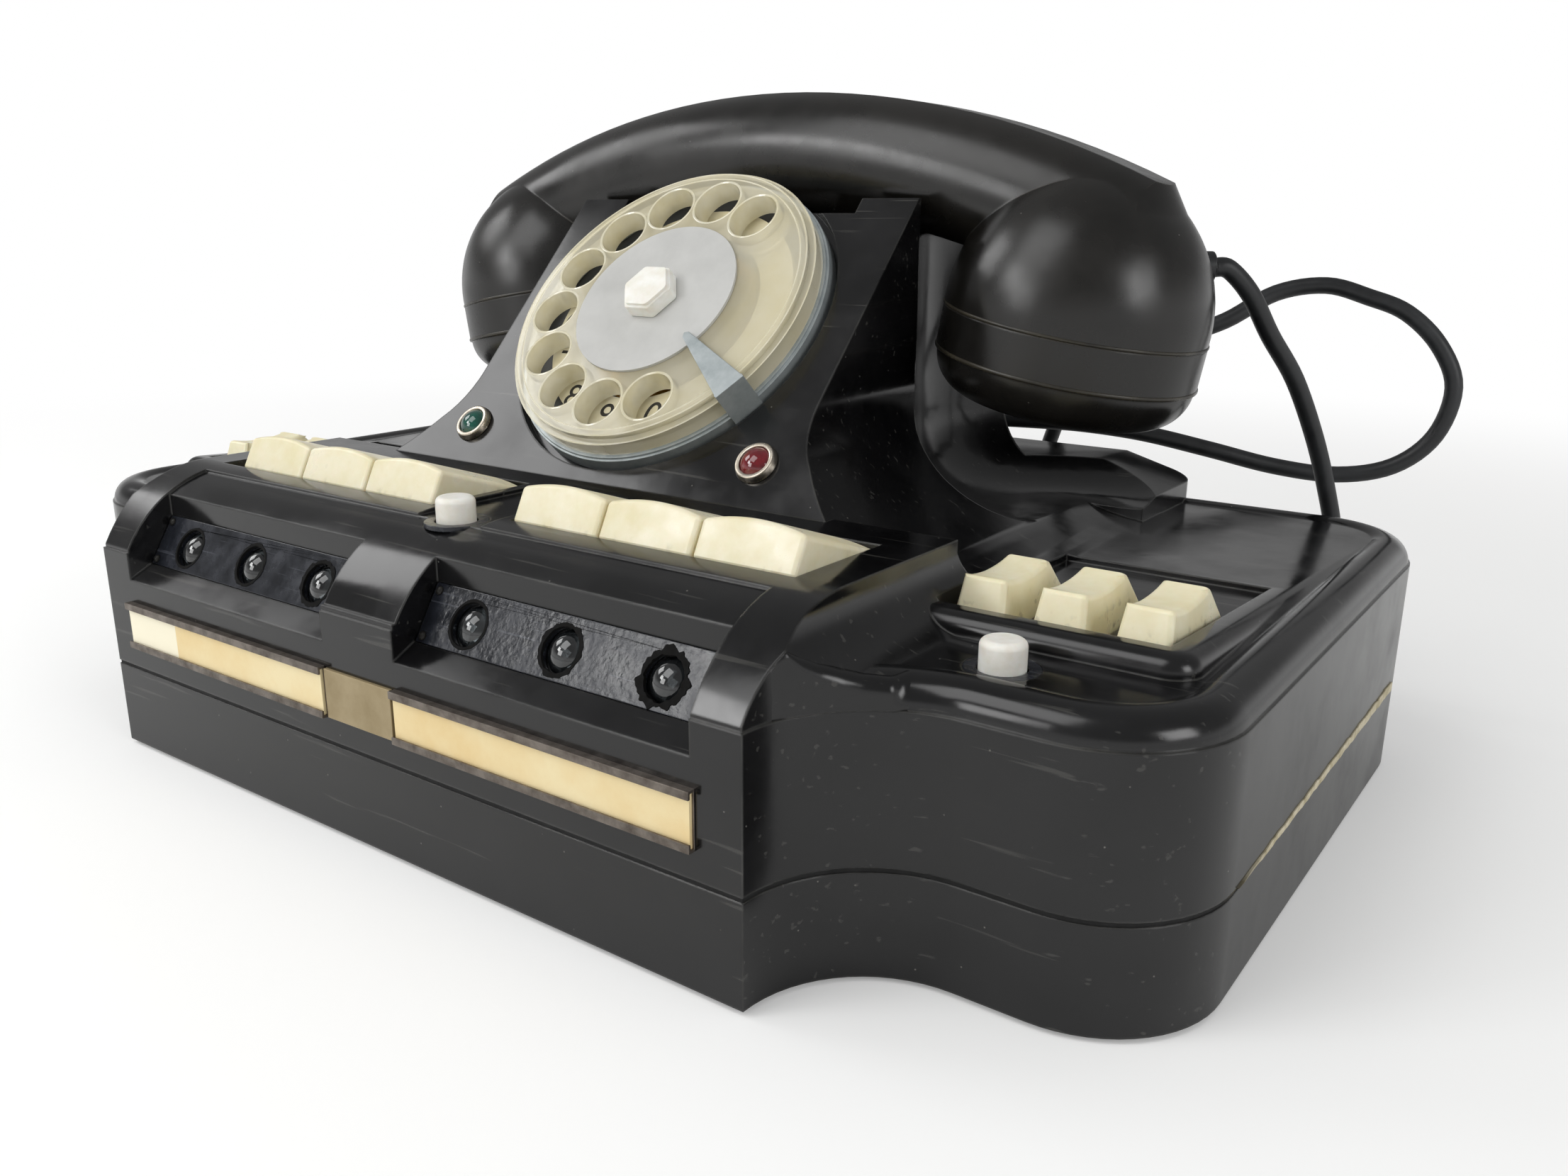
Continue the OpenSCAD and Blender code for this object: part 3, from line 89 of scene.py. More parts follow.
# Where a pattern starts to show and where it shows in full, and how strong it is then
BLOTCH_CUT: Span = (0.35, 0.68)
EDGE_CUT: Span = (0.97, 0.8)  # cosine between the flat and the rounded surface
# How far edges take the lighter tone, partly scuffing and partly a painted highlight
EDGE_WEAR_HIGHLIGHT_SHARE = 0.95
SPECK_CUT_MM: Span = (0.2, 0.08)
SPECK_SHARE = 0.5
SPECK_GREY = "#8d8a84"
SCRATCH_CUT: Span = (0.66, 0.72)
SCRATCH_SHARE = 0.3
SCRATCH_TURN: Point = (0.3, 0.5, 0.6)  # radians
SCRATCH_STRETCH: Point = (0.04, 1.0, 1.0)
SMEAR_CUT: Span = (0.56, 0.72)
SMEAR_SHARE = 0.65
SUBSURFACE_MM = 2.0


def linear(hex_code: str) -> Colour:
    """Turns an sRGB hex colour into a linear one.

    Args:
        hex_code: a colour such as "#1a1b1c".

    Returns:
        Linear red, green, blue and an alpha of 1.
    """
    shares = [int(hex_code[i : i + 2], 16) / 255 for i in (1, 3, 5)]
    rgb = [s / 12.92 if s <= 0.04045 else ((s + 0.055) / 1.055) ** 2.4 for s in shares]
    return (rgb[0], rgb[1], rgb[2], 1.0)


def per_metre(size_mm: float) -> float:
    """Gives the texture scale at which a pattern repeats about every size_mm."""
    return 1.0 / (size_mm * MM)


def metres(point_mm: Point) -> Vector:
    """Turns a point in millimetres into one in metres."""
    return Vector(point_mm) * MM


def between(span: Span, share: float) -> float:
    """Gives the value at a share of the way from one end of a span to the other."""
    return span[0] + share * (span[1] - span[0])


def ease(share: float) -> float:
    """Gives a smooth step from 0 to 1 over a share of 0 to 1."""
    share = min(max(share, 0.0), 1.0)
    return share * share * (3 - 2 * share)


def add_node(
    tree: Tree,
    kind: str,
    inputs: dict[str | int, Any] | None = None,
    **settings: Any,
) -> bpy.types.Node:
    """Adds a node with its settings and links.

    Args:
        tree: the node tree that gets it.
        kind: the node's type name.
        inputs: sockets by name or place; another node's socket is linked,
            and any other value is set on the socket itself.
        settings: properties of the node, by name.

    Returns:
        The new node.
    """
    node = tree.nodes.new(kind)
    for name, value in settings.items():
        setattr(node, name, value)
    for key, value in (inputs or {}).items():
        if isinstance(value, Socket):
            tree.links.new(value, node.inputs[key])
        else:
            node.inputs[key].default_value = value
    return node


def cleared(owner: bpy.types.Material | bpy.types.World) -> Tree:
    """Empties the node tree of a new material or world.

    Args:
        owner: the material or world.

    Returns:
        Its node tree, with nothing in it.
    """
    owner.use_nodes = True
    owner.node_tree.nodes.clear()
    return owner.node_tree


def strong_parts(
    tree: Tree, noise: dict[str | int, Any], cut: Span, share: float = 1.0
) -> Socket:
    """Adds a noise that shows only where it is strong.

    Args:
        tree: the material's node tree.
        noise: the noise's inputs.
        cut: where it starts to show and where it shows in full.
        share: how strong it is then.

    Returns:
        A socket from 0 to the share.
    """
    value = add_node(tree, "ShaderNodeTexNoise", noise).outputs["Fac"]
    limits = {"Value": value, "From Min": cut[0], "From Max": cut[1], "To Max": share}
    return add_node(tree, "ShaderNodeMapRange", limits).outputs["Result"]


class Slot(Enum):
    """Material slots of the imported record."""

    CASE = "bakelite_black"
    PANEL = "panel_black"
    RUBBER = "rubber_black"
    GASKET = "gasket_board"
    NUMBERS = "number_white"
    WHEEL = "wheel_amber"


class Side(Enum):
    """The halves of the telephone, by the sign of X."""

    RIGHT = 1
    LEFT = -1


@dataclass(frozen=True)
class Finish:
    """A surface with a blotchy colour, an uneven gloss and a fine grain.

    The colour drifts from one of its colours to the other over blotches of
    blotch_mm, and the roughness with them. The grain has a width and a
    depth, and is drawn coarser than a real one that would be too fine to
    show. Edges shade as if rounded by round_mm and take the tone of
    wear_and_highlight, which stands for scuffing and is also a painted
    highlight along them; specks of dust lie dust_mm apart and fine
    scratches scratch_mm. A spacing of 0 leaves them out.
    """

    name: str
    colours: tuple[str, str]
    blotch_mm: float
    roughness: Span
    grain_mm: Span = (1.2, 0.01)
    metallic: float = 0.0
    ior: float = 1.5
    coat: float = 0.0
    transmission: float = 0.0
    subsurface: float = 0.0
    alpha: float = 1.0
    round_mm: float = 0.0
    # Tone of scuffed edges and scratches; on edges it is also a painted highlight
    wear_and_highlight: str = "#5c5b57"
    dust_mm: float = 0.0
    scratch_mm: float = 0.0

    def material(self) -> bpy.types.Material:
        """Builds the material, or returns the one made before.

        Returns:
            The finished material.
        """
        made = bpy.data.materials.get(self.name)
        if made is not None:
            return made
        made = bpy.data.materials.new(self.name)
        tree = cleared(made)
        place = add_node(tree, "ShaderNodeTexCoord").outputs["Object"]
        shader = add_node(
            tree,
            "ShaderNodeBsdfPrincipled",
            {
                "Metallic": self.metallic,
                "IOR": self.ior,
                "Coat Weight": self.coat,
                "Transmission Weight": self.transmission,
                "Subsurface Weight": self.subsurface,
                "Subsurface Scale": SUBSURFACE_MM * MM,
                "Alpha": self.alpha,
                **self.paint(tree, place),
            },
        )
        add_node(tree, "ShaderNodeOutputMaterial", {"Surface": shader.outputs["BSDF"]})
        return made

    def paint(self, tree: Tree, place: Socket) -> dict[str, Socket]:
        """Makes the colour, the roughness and the grain.

        Args:
            tree: the material's node tree.
            place: the piece's own coordinates, in metres.

        Returns:
            What is linked to the shader, by the names of its sockets.
        """
        blotch = self.blotches(tree, place)
        clean, drifted = map(linear, self.colours)
        layers: list[Layer] = [(blotch, clean, drifted), *self.marks(tree, place)]
        rounded = None
        if self.round_mm:
            bevel = add_node(tree, "ShaderNodeBevel", {"Radius": self.round_mm * MM}, samples=4)
            rounded = bevel.outputs["Normal"]
            # Lighter edges: scuffing, and a painted highlight along them
            layers.append((self.edges(tree, rounded, blotch), None, linear(self.wear_and_highlight)))
        if self.dust_mm:
            layers.append((self.specks(tree, place), None, linear(SPECK_GREY)))
        if self.scratch_mm:
            layers.append((self.scratches(tree, place), None, linear(self.wear_and_highlight)))
        colour = None
        for share, under, over in layers:
            both = {MIX_FACTOR: share, MIX_A: under or colour, MIX_B: over or colour}
            colour = add_node(tree, "ShaderNodeMix", both, data_type="RGBA").outputs[MIX_RESULT]
        polished, dull = self.roughness
        gloss = add_node(
            tree, "ShaderNodeMapRange", {"Value": blotch, "To Min": polished, "To Max": dull}
        )
        return {
            "Base Color": colour,
            "Roughness": gloss.outputs["Result"],
            "Normal": self.grain(tree, place, rounded),
        }

    def marks(self, tree: Tree, place: Socket) -> list[Layer]:
        """Adds the marks that a finish has of its own; a plain one has none.

        Args:
            tree: the material's node tree.
            place: the piece's own coordinates, in metres.

        Returns:
            The layers of colour that the marks add.
        """
        return []

    def blotches(self, tree: Tree, place: Socket) -> Socket:
        """Adds the soft blotches.

        Args:
            tree: the material's node tree.
            place: the piece's own coordinates, in metres.

        Returns:
            A socket from 0, clean, to 1, in a blotch.
        """
        scale = per_metre(self.blotch_mm)
        noise = {"Vector": place, "Scale": scale, "Detail": 5.0, "Roughness": 0.6}
        return strong_parts(tree, noise, BLOTCH_CUT)

    def edges(self, tree: Tree, rounded: Socket, blotch: Socket) -> Socket:
        """Finds the edges, where the rounded surface leaves the flat one: scuffed, and lighter as
        a painted highlight.

        Args:
            tree: the material's node tree.
            rounded: the surface normal with rounded edges.
            blotch: the blotches, which break the wear up.

        Returns:
            A socket from 0, whole, to 1, scuffed and painted with the highlight.
        """
        flat = add_node(tree, "ShaderNodeNewGeometry").outputs["Normal"]
        turn = add_node(
            tree, "ShaderNodeVectorMath", {0: flat, 1: rounded}, operation="DOT_PRODUCT"
        ).outputs["Value"]
        start, full = EDGE_CUT
        wear_and_highlight = add_node(
            tree,
            "ShaderNodeMapRange",
            {"Value": turn, "From Min": start, "From Max": full, "To Max": EDGE_WEAR_HIGHLIGHT_SHARE},
        ).outputs["Result"]
        broken = add_node(tree, "ShaderNodeMath", {0: wear_and_highlight, 1: blotch}, operation="MULTIPLY")
        return broken.outputs["Value"]

    def specks(self, tree: Tree, place: Socket) -> Socket:
        """Adds specks of dust, about a quarter of a millimetre across.

        Args:
            tree: the material's node tree.
            place: the piece's own coordinates, in metres.

        Returns:
            A socket from 0, clean, to 1, in a speck.
        """
        cells = add_node(
            tree, "ShaderNodeTexVoronoi", {"Vector": place, "Scale": per_metre(self.dust_mm)}
        ).outputs["Distance"]
        start, full = (size / self.dust_mm for size in SPECK_CUT_MM)
        spot = {"Value": cells, "From Min": start, "From Max": full, "To Max": SPECK_SHARE}
        return add_node(tree, "ShaderNodeMapRange", spot).outputs["Result"]

    def scratches(self, tree: Tree, place: Socket) -> Socket:
        """Adds fine scratches that run slantwise, drawn wide enough to show.

        Args:
            tree: the material's node tree.
            place: the piece's own coordinates, in metres.

        Returns:
            A socket from 0, whole, to 1, in a scratch.
        """
        slant = add_node(
            tree,
            "ShaderNodeMapping",
            {"Vector": place, "Rotation": SCRATCH_TURN, "Scale": SCRATCH_STRETCH},
        ).outputs["Vector"]
        noise = {"Vector": slant, "Scale": per_metre(self.scratch_mm), "Detail": 2.0}
        return strong_parts(tree, noise, SCRATCH_CUT, SCRATCH_SHARE)

    def grain(self, tree: Tree, place: Socket, rounded: Socket | None) -> Socket:
        """Adds the fine grain.

        Args:
            tree: the material's node tree.
            place: the piece's own coordinates, in metres.
            rounded: the normal with rounded edges, if the finish has them.

        Returns:
            The lifted surface normal.
        """
        width, depth = self.grain_mm
        noise = add_node(
            tree,
            "ShaderNodeTexNoise",
            {"Vector": place, "Scale": per_metre(width), "Detail": 3.0},
        )
        lift: dict[str | int, Any] = {"Height": noise.outputs["Fac"], "Distance": depth * MM}
        if rounded is not None:
            lift["Normal"] = rounded
        return add_node(tree, "ShaderNodeBump", lift).outputs["Normal"]


@dataclass(frozen=True)
class SeamBoard(Finish):
    """Pressed board that shows bare along the right side and is near black elsewhere."""

    dark_tone: str = "#0d0d0d"
    bare_x: float = 147.2
    bare_y: Span = (-48.0, -23.0)

    def marks(self, tree: Tree, place: Socket) -> list[Layer]:
        """Turns the board near black, apart from the rear of the right side.

        Args:
            tree: the material's node tree.
            place: the piece's own coordinates, in metres.

        Returns:
            The black under the bare part.
        """
        axes = add_node(tree, "ShaderNodeSeparateXYZ", {"Vector": place}).outputs
        right = add_node(
            tree, "ShaderNodeMath", {0: axes["X"], 1: self.bare_x * MM}, operation="GREATER_THAN"
        )
        start, full = (y * MM for y in self.bare_y)
        rear = add_node(
            tree,
            "ShaderNodeMapRange",
            {"Value": axes["Y"], "From Min": start, "From Max": full},
            interpolation_type="SMOOTHSTEP",
        )
        both = {0: right.outputs["Value"], 1: rear.outputs["Result"]}
        bare = add_node(tree, "ShaderNodeMath", both, operation="MULTIPLY")
        return [(bare.outputs["Value"], linear(self.dark_tone), None)]


@dataclass(frozen=True)
class NumberRing(Finish):
    """Enamelled ring: ivory where the digits stand, dark grey inside and outside: metal inside,
    painted shade of the dial ring's wall outside.
    """

    # Dark grey: metal inside the band, painted shade of the dial ring's wall outside it
    metal_and_shade: str = "#3a3b3a"

    def marks(self, tree: Tree, place: Socket) -> list[Layer]:
        """Leaves the ivory between its two radii.

        Args:
            tree: the material's node tree.
            place: the piece's own coordinates, in metres.

        Returns:
            The dark grey under the ivory: metal inside, painted shade outside.
        """
        face = add_node(
            tree,
            "ShaderNodeMapping",
            {
                "Vector": place,
                "Location": metres(DIAL_CENTRE),
                "Rotation": (math.radians(DIAL_SLOPE_DEG), 0.0, 0.0),
            },
            vector_type="TEXTURE",
        ).outputs["Vector"]
        flat = add_node(
            tree, "ShaderNodeVectorMath", {0: face, 1: (1.0, 1.0, 0.0)}, operation="MULTIPLY"
        ).outputs["Vector"]
        out = add_node(tree, "ShaderNodeVectorMath", {0: flat}, operation="LENGTH")
        middle, half = between(NUMBER_BAND, 0.5), (NUMBER_BAND[1] - NUMBER_BAND[0]) / 2
        inside = add_node(
            tree,
            "ShaderNodeMath",
            {0: out.outputs["Value"], 1: middle * MM, 2: half * MM},
            operation="COMPARE",
        )
        return [(inside.outputs["Value"], linear(self.metal_and_shade), None)]


@dataclass(frozen=True)
class LabelCard(Finish):
    """Card of the label strips, with a paler slip at the end of the left one."""

    slip: Span = (-81.5, -62.0)
    pale: str = "#fdf6dc"

    def marks(self, tree: Tree, place: Socket) -> list[Layer]:
        """Lays the paler slip over the card.

        Args:
            tree: the material's node tree.
            place: the piece's own coordinates, in metres.

        Returns:
            The slip over the card.
        """
        axes = add_node(tree, "ShaderNodeSeparateXYZ", {"Vector": place})
        middle, half = between(self.slip, 0.5), (self.slip[1] - self.slip[0]) / 2
        there = add_node(
            tree,
            "ShaderNodeMath",
            {0: axes.outputs["X"], 1: middle * MM, 2: half * MM},
            operation="COMPARE",
        )
        return [(there.outputs["Value"], None, linear(self.pale))]


@dataclass(frozen=True)
class KeyMoulding(Finish):
    """Moulded key, darker in short smears near its foot."""

    foot_tone: str = "#6d5f46"
    foot_tone_top: float = 64.6
    foot_tone_fade: float = 3.0
    foot_smear_mm: float = 2.2

    def marks(self, tree: Tree, place: Socket) -> list[Layer]:
        """Darkens the lower part of the key in smears.

        Args:
            tree: the material's node tree.
            place: the piece's own coordinates, in metres.

        Returns:
            The darker tone over the clean key.
        """
        high = add_node(tree, "ShaderNodeSeparateXYZ", {"Vector": place}).outputs["Z"]
        top, full_below = self.foot_tone_top * MM, (self.foot_tone_top - self.foot_tone_fade) * MM
        low = add_node(
            tree,
            "ShaderNodeMapRange",
            {"Value": high, "From Min": top, "From Max": full_below},
        )
        noise = {"Vector": place, "Scale": per_metre(self.foot_smear_mm), "Detail": 4.0}
        smear = strong_parts(tree, noise, SMEAR_CUT, SMEAR_SHARE)
        both = {0: low.outputs["Result"], 1: smear}
        darker_foot = add_node(tree, "ShaderNodeMath", both, operation="MULTIPLY")
        return [(darker_foot.outputs["Value"], None, linear(self.foot_tone))]


# Phenolic, moulded and polished, then handled for years: a deep black whose
# gloss breaks up into smears, with dust specks and edges a little grey: scuffed, and a painted
# highlight
CASE_PHENOLIC = Finish(
    "phenolic_moulded_black", ("#09090a", "#121213"), blotch_mm=18.0, roughness=(0.1, 0.24),
    grain_mm=(3.0, 0.008), ior=1.56, round_mm=0.6, dust_mm=5.0, scratch_mm=1.4,
)
# The same moulding, rubbed by hands to a browner, softer shine
HANDSET_PHENOLIC = Finish(
    "phenolic_hand_rubbed", ("#100f0d", "#1c1a17"), blotch_mm=24.0, roughness=(0.2, 0.36),
    grain_mm=(2.0, 0.008), ior=1.56, round_mm=0.7, wear_and_highlight="#6a655c", dust_mm=7.0,
)
# The rim lines of the handset's caps: dull grey-brown where the polish is gone, and lighter than
# the case as a painted highlight along the lines
RIM_WEAR_AND_HIGHLIGHT = Finish(
    "phenolic_rim_wear_and_highlight", ("#3b372d", "#1c1a16"), blotch_mm=9.0, roughness=(0.25, 0.45),
    grain_mm=(0.8, 0.02),
)
# Pressed sheet, painted black: a cooler satin, dimpled and scratched across
PANEL_PAINT = Finish(
    "painted_sheet_satin", ("#15171c", "#24272f"), blotch_mm=5.0, roughness=(0.16, 0.34),
    grain_mm=(1.3, 0.09), wear_and_highlight="#5d6068", scratch_mm=0.7,
)
# The torn edge of that paint round a lamp hole: a crumbling black, dead black also as painted
# shade of the hole's rim
TORN_PAINT_SHADE = Finish(
    "paint_torn_edge_shade", ("#030303", "#0b0a08"), blotch_mm=1.5, roughness=(0.75, 0.9),
    grain_mm=(0.5, 0.06), ior=1.3,
)
# Urea moulding gone ivory: soft gloss, yellower in patches, darker in smears towards the foot
IVORY_UREA = KeyMoulding(
    "urea_moulded_ivory", ("#f1ead0", "#e4dab2"), blotch_mm=9.0, roughness=(0.26, 0.46),
    grain_mm=(1.6, 0.02), subsurface=0.1,
)
# The same moulding on the wings, painted paler and less yellow to make up for the dimmer light
# that falls on them
WING_IVORY_LIT = replace(
    IVORY_UREA, name="urea_ivory_wing_painted_light", colours=("#faf3d4", "#efe5bd"), foot_tone_top=56.0
)
# White urea of the push buttons and the hub cap: a clean, soft gloss
WHITE_UREA = Finish(
    "urea_moulded_white", ("#f3f2ec", "#e6e2d5"), blotch_mm=4.0, roughness=(0.3, 0.46),
    grain_mm=(1.2, 0.015), subsurface=0.1,
)
# Clear acrylic, moulded and yellowed with age: what lies under it shows through, hazed
WHEEL_ACRYLIC = Finish(
    "acrylic_yellowed", ("#fbf5dd", "#f3eac6"), blotch_mm=18.0, roughness=(0.05, 0.14),
    grain_mm=(4.0, 0.006), ior=1.49, coat=1.0, alpha=0.36,
)
# The polished lips of the same moulding, painted paler and less see-through as a highlight where
# more light gathers
WHEEL_LIP_HIGHLIGHT = Finish(
    "acrylic_lip_painted_highlight", ("#fffbe9", "#f6eecd"), blotch_mm=6.0, roughness=(0.05, 0.12),
    grain_mm=(2.0, 0.006), ior=1.49, coat=1.0, alpha=0.62,
)
# Zinc plate of the dial ring and stop: blue-grey, dull, cloudy
ZINC_PLATE = Finish(
    "zinc_plated_dull", ("#b3babb", "#979fa1"), blotch_mm=5.0, roughness=(0.32, 0.48),
    grain_mm=(0.9, 0.01), metallic=0.45,
)
# Steel strip folded into the label rails: brown-grey with handling
RAIL_STEEL = Finish(
    "steel_strip_tarnished", ("#857d75", "#5d554e"), blotch_mm=3.0, roughness=(0.34, 0.55),
    grain_mm=(0.7, 0.015), metallic=0.8,
)
# Nickel-plated stamping between the label strips, worn to a beige sheen
PLATE_NICKEL = Finish(
    "nickel_plate_worn", ("#ad9c7a", "#9a8966"), blotch_mm=9.0, roughness=(0.4, 0.55),
    grain_mm=(0.8, 0.008), metallic=0.35,
)
# Turned nickel bezels round the jewels: bright, with a warm cloud
BEZEL_NICKEL = Finish(
    "nickel_turned", ("#c9c1b4", "#aaa193"), blotch_mm=2.5, roughness=(0.22, 0.34),
    grain_mm=(1.2, 0.004), metallic=1.0,
)
# Grey plastic sheet under the hub cap: even and nearly matt
DISC_GREY = Finish(
    "plastic_sheet_grey", ("#c2c2bf", "#b5b5b2"), blotch_mm=14.0, roughness=(0.42, 0.58),
    grain_mm=(0.8, 0.006),
)
# Cream paper of the label strips, matt, browner where it was touched
CARD_PAPER = LabelCard(
    "paper_card_cream", ("#f5e4b6", "#edd39c"), blotch_mm=16.0, roughness=(0.6, 0.75),
    grain_mm=(0.4, 0.02),
)
# Off-white enamel of the number ring: a soft gloss, yellowed in patches
NUMBER_ENAMEL = NumberRing(
    "enamel_number_ring", ("#e6dfc4", "#d4caa6"), blotch_mm=6.0, roughness=(0.3, 0.45),
    grain_mm=(0.8, 0.01),
)
# Printing ink of the digits: a flat, slightly brown black
PRINT_INK = Finish(
    "ink_printed_black", ("#1b1a18", "#2a2824"), blotch_mm=1.0, roughness=(0.5, 0.6)
)
# Extruded rubber of the cord, grommets and feet: a greyed black with a low sheen
CORD_RUBBER = Finish(
    "rubber_extruded_black", ("#1a1b1d", "#2a2c2e"), blotch_mm=9.0, roughness=(0.38, 0.52),
    grain_mm=(1.0, 0.03), ior=1.52,
)
# Clear moulded lenses over the lamps, tinted dark grey as painted shade of the cavity behind them,
# with a hard highlight
LENS_SHADED = Finish(
    "acrylic_lens_painted_shade", ("#4c5153", "#34383a"), blotch_mm=5.0, roughness=(0.01, 0.03),
    grain_mm=(2.0, 0.002), coat=1.0, transmission=0.9,
)
# Pressed glass jewels: deep colour that is lit from within, with a hard highlight
JEWEL_RED = Finish(
    "glass_jewel_red", ("#930d20", "#650814"), blotch_mm=3.0, roughness=(0.03, 0.06),
    grain_mm=(3.0, 0.002), coat=1.0, transmission=0.35,
)
JEWEL_GREEN = replace(JEWEL_RED, name="glass_jewel_green", colours=("#0d6b5a", "#06453a"))
# Pale pressed board between the case halves: fibrous, matt, near black but for one side
GASKET_BOARD = SeamBoard(
    "pressed_board_tan", ("#d9d0b6", "#b4a987"), blotch_mm=3.0, roughness=(0.7, 0.85),
    grain_mm=(0.5, 0.03),
)
# Brass of the lamp holders, painted nearly black as the shade in the cavity behind the lenses, so
# that the lenses stand out
SOCKET_SHADE = Finish(
    "brass_painted_shade", ("#12100d", "#1d1a15"), blotch_mm=2.0, roughness=(0.3, 0.5),
    grain_mm=(0.6, 0.03),
)
# Steel of the panel's rivets, painted dark grey as the shade of the holes they sit in, with small
# bright spots
RIVET_SHADE = Finish(
    "steel_rivet_painted_shade", ("#3a3936", "#1e1d1b"), blotch_mm=1.2, roughness=(0.35, 0.55),
    grain_mm=(0.5, 0.02), metallic=0.7,
)
# Bare brass of the works: yellow, clouded by the air
BRASS = Finish(
    "brass_bare", ("#c79d4e", "#a47c36"), blotch_mm=4.0, roughness=(0.28, 0.45), metallic=1.0
)
# Plated steel of the works and screws: cool grey, softly bright
WORKS_STEEL = Finish(
    "steel_plated", ("#b9bcbe", "#93989b"), blotch_mm=6.0, roughness=(0.3, 0.5),
    grain_mm=(0.8, 0.01), metallic=0.95,
)
# Varnished wire of the coils: red-brown, ribbed by the turns
WINDING = Finish(
    "winding_varnished", ("#6b3a1c", "#4a2712"), blotch_mm=2.0, roughness=(0.35, 0.55),
    grain_mm=(0.4, 0.05),
)
# Brown phenolic of the terminal strip: dull, unpolished
STRIP_PHENOLIC = Finish(
    "phenolic_moulded_brown", ("#3a2417", "#2a1a10"), blotch_mm=6.0, roughness=(0.4, 0.6)
)


@dataclass(frozen=True)
class Edge:
    """How sharp edges of a solid are eased: those longer than shortest_mm get a round."""

    width_mm: float
    segments: int = 3
    from_deg: float = 34.0
    shortest_mm: float = 0.0


@dataclass
class Dresser:
    """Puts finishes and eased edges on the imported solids."""

    nodes: dict[str, bpy.types.Object]
    merge_mm: float = 0.002
    smooth_deg: float = 22.0
    shade_group: Tree | None = None

    def dress(self, names: list[str], finish: Finish, edge: Edge | None = None) -> None:
        """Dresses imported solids.

        Args:
            names: the solids.
            finish: their finish.
            edge: how their edges are eased, or none to leave them crisp.
        """
        for name in names:
            node = self.nodes[name]
            node.data.materials.clear()
            node.data.materials.append(finish.material())
            self.smooth(node, edge)
            LOG.info("%s: %s", name, finish.name)

    def smooth(self, node: bpy.types.Object, edge: Edge | None) -> None:
        """Eases a solid's edges and shades its round faces smooth.

        Args:
            node: the solid.
            edge: how its edges are eased, or none.
        """
        weld = node.modifiers.new("join_faces", "WELD")
        weld.merge_threshold = self.merge_mm * MM
        if edge is not None:
            pick = node.modifiers.new("picked_edges", "NODES")
            pick.node_group = self.picking(edge)
            bevel = node.modifiers.new("eased_edges", "BEVEL")
            bevel.width = edge.width_mm * MM
            bevel.segments = edge.segments
            bevel.limit_method = "WEIGHT"
            bevel.miter_outer = "MITER_ARC"
            bevel.use_clamp_overlap = False  # short edges elsewhere would shrink every round
        shade = node.modifiers.new("smooth_rounds", "NODES")
        shade.node_group = self.smoothing()
        if edge is not None:
            level = node.modifiers.new("level_flats", "WEIGHTED_NORMAL")
            level.keep_sharp = True

    def group(self, name: str) -> tuple[Tree, Socket]:
        """Starts a geometry node group.

        Args:
            name: the group's name.

        Returns:
            The group, and the socket of the mesh that comes in.
        """
        tree = bpy.data.node_groups.new(name, "GeometryNodeTree")
        for way in ("INPUT", "OUTPUT"):
            tree.interface.new_socket("Mesh", in_out=way, socket_type="NodeSocketGeometry")
        return tree, add_node(tree, "NodeGroupInput").outputs[0]

    def picking(self, edge: Edge) -> Tree:
        """Makes the node group that marks the edges to be rounded.

        Args:
            edge: how the edges are eased.

        Returns:
            The geometry node group.
        """
        tree, came = self.group("pick_edges")
        angle = add_node(tree, "GeometryNodeInputMeshEdgeAngle").outputs["Unsigned Angle"]
        ends = add_node(tree, "GeometryNodeInputMeshEdgeVertices").outputs
        length = add_node(
            tree,
            "ShaderNodeVectorMath",
            {0: ends["Position 1"], 1: ends["Position 2"]},
            operation="DISTANCE",
        ).outputs["Value"]
        limits = ((angle, math.radians(edge.from_deg)), (length, edge.shortest_mm * MM))
        sharp, long = (
            add_node(tree, "ShaderNodeMath", {0: value, 1: least}, operation="GREATER_THAN")
            for value, least in limits
        )
        both = {0: sharp.outputs[0], 1: long.outputs[0]}
        picked = add_node(tree, "ShaderNodeMath", both, operation="MULTIPLY").outputs[0]
        marked = add_node(
            tree,
            "GeometryNodeStoreNamedAttribute",
            {"Geometry": came, "Name": "bevel_weight_edge", "Value": picked},
            data_type="FLOAT",
            domain="EDGE",
        )
        add_node(tree, "NodeGroupOutput", {0: marked.outputs[0]})
        return tree

    def smoothing(self) -> Tree:
        """Makes the node group that shades faces smooth up to smooth_deg, once.

        Returns:
            The geometry node group.
        """
        if self.shade_group is not None:
            return self.shade_group
        tree, came = self.group("smooth_by_angle")
        angle = add_node(tree, "GeometryNodeInputMeshEdgeAngle").outputs["Unsigned Angle"]
        sharp = add_node(
            tree,
            "FunctionNodeCompare",
            {0: angle, 1: math.radians(self.smooth_deg)},
            data_type="FLOAT",
            operation="GREATER_THAN",
        )
        shaded = add_node(
            tree,
            "GeometryNodeSetMeshNormal",
            {
                "Mesh": came,
                "Remove Custom": True,
                "Edge Sharpness": sharp.outputs[0],
                "Face Sharpness": False,
            },
            mode="SHARPNESS",
        )
        add_node(tree, "NodeGroupOutput", {0: shaded.outputs[0]})
        self.shade_group = tree
        return tree


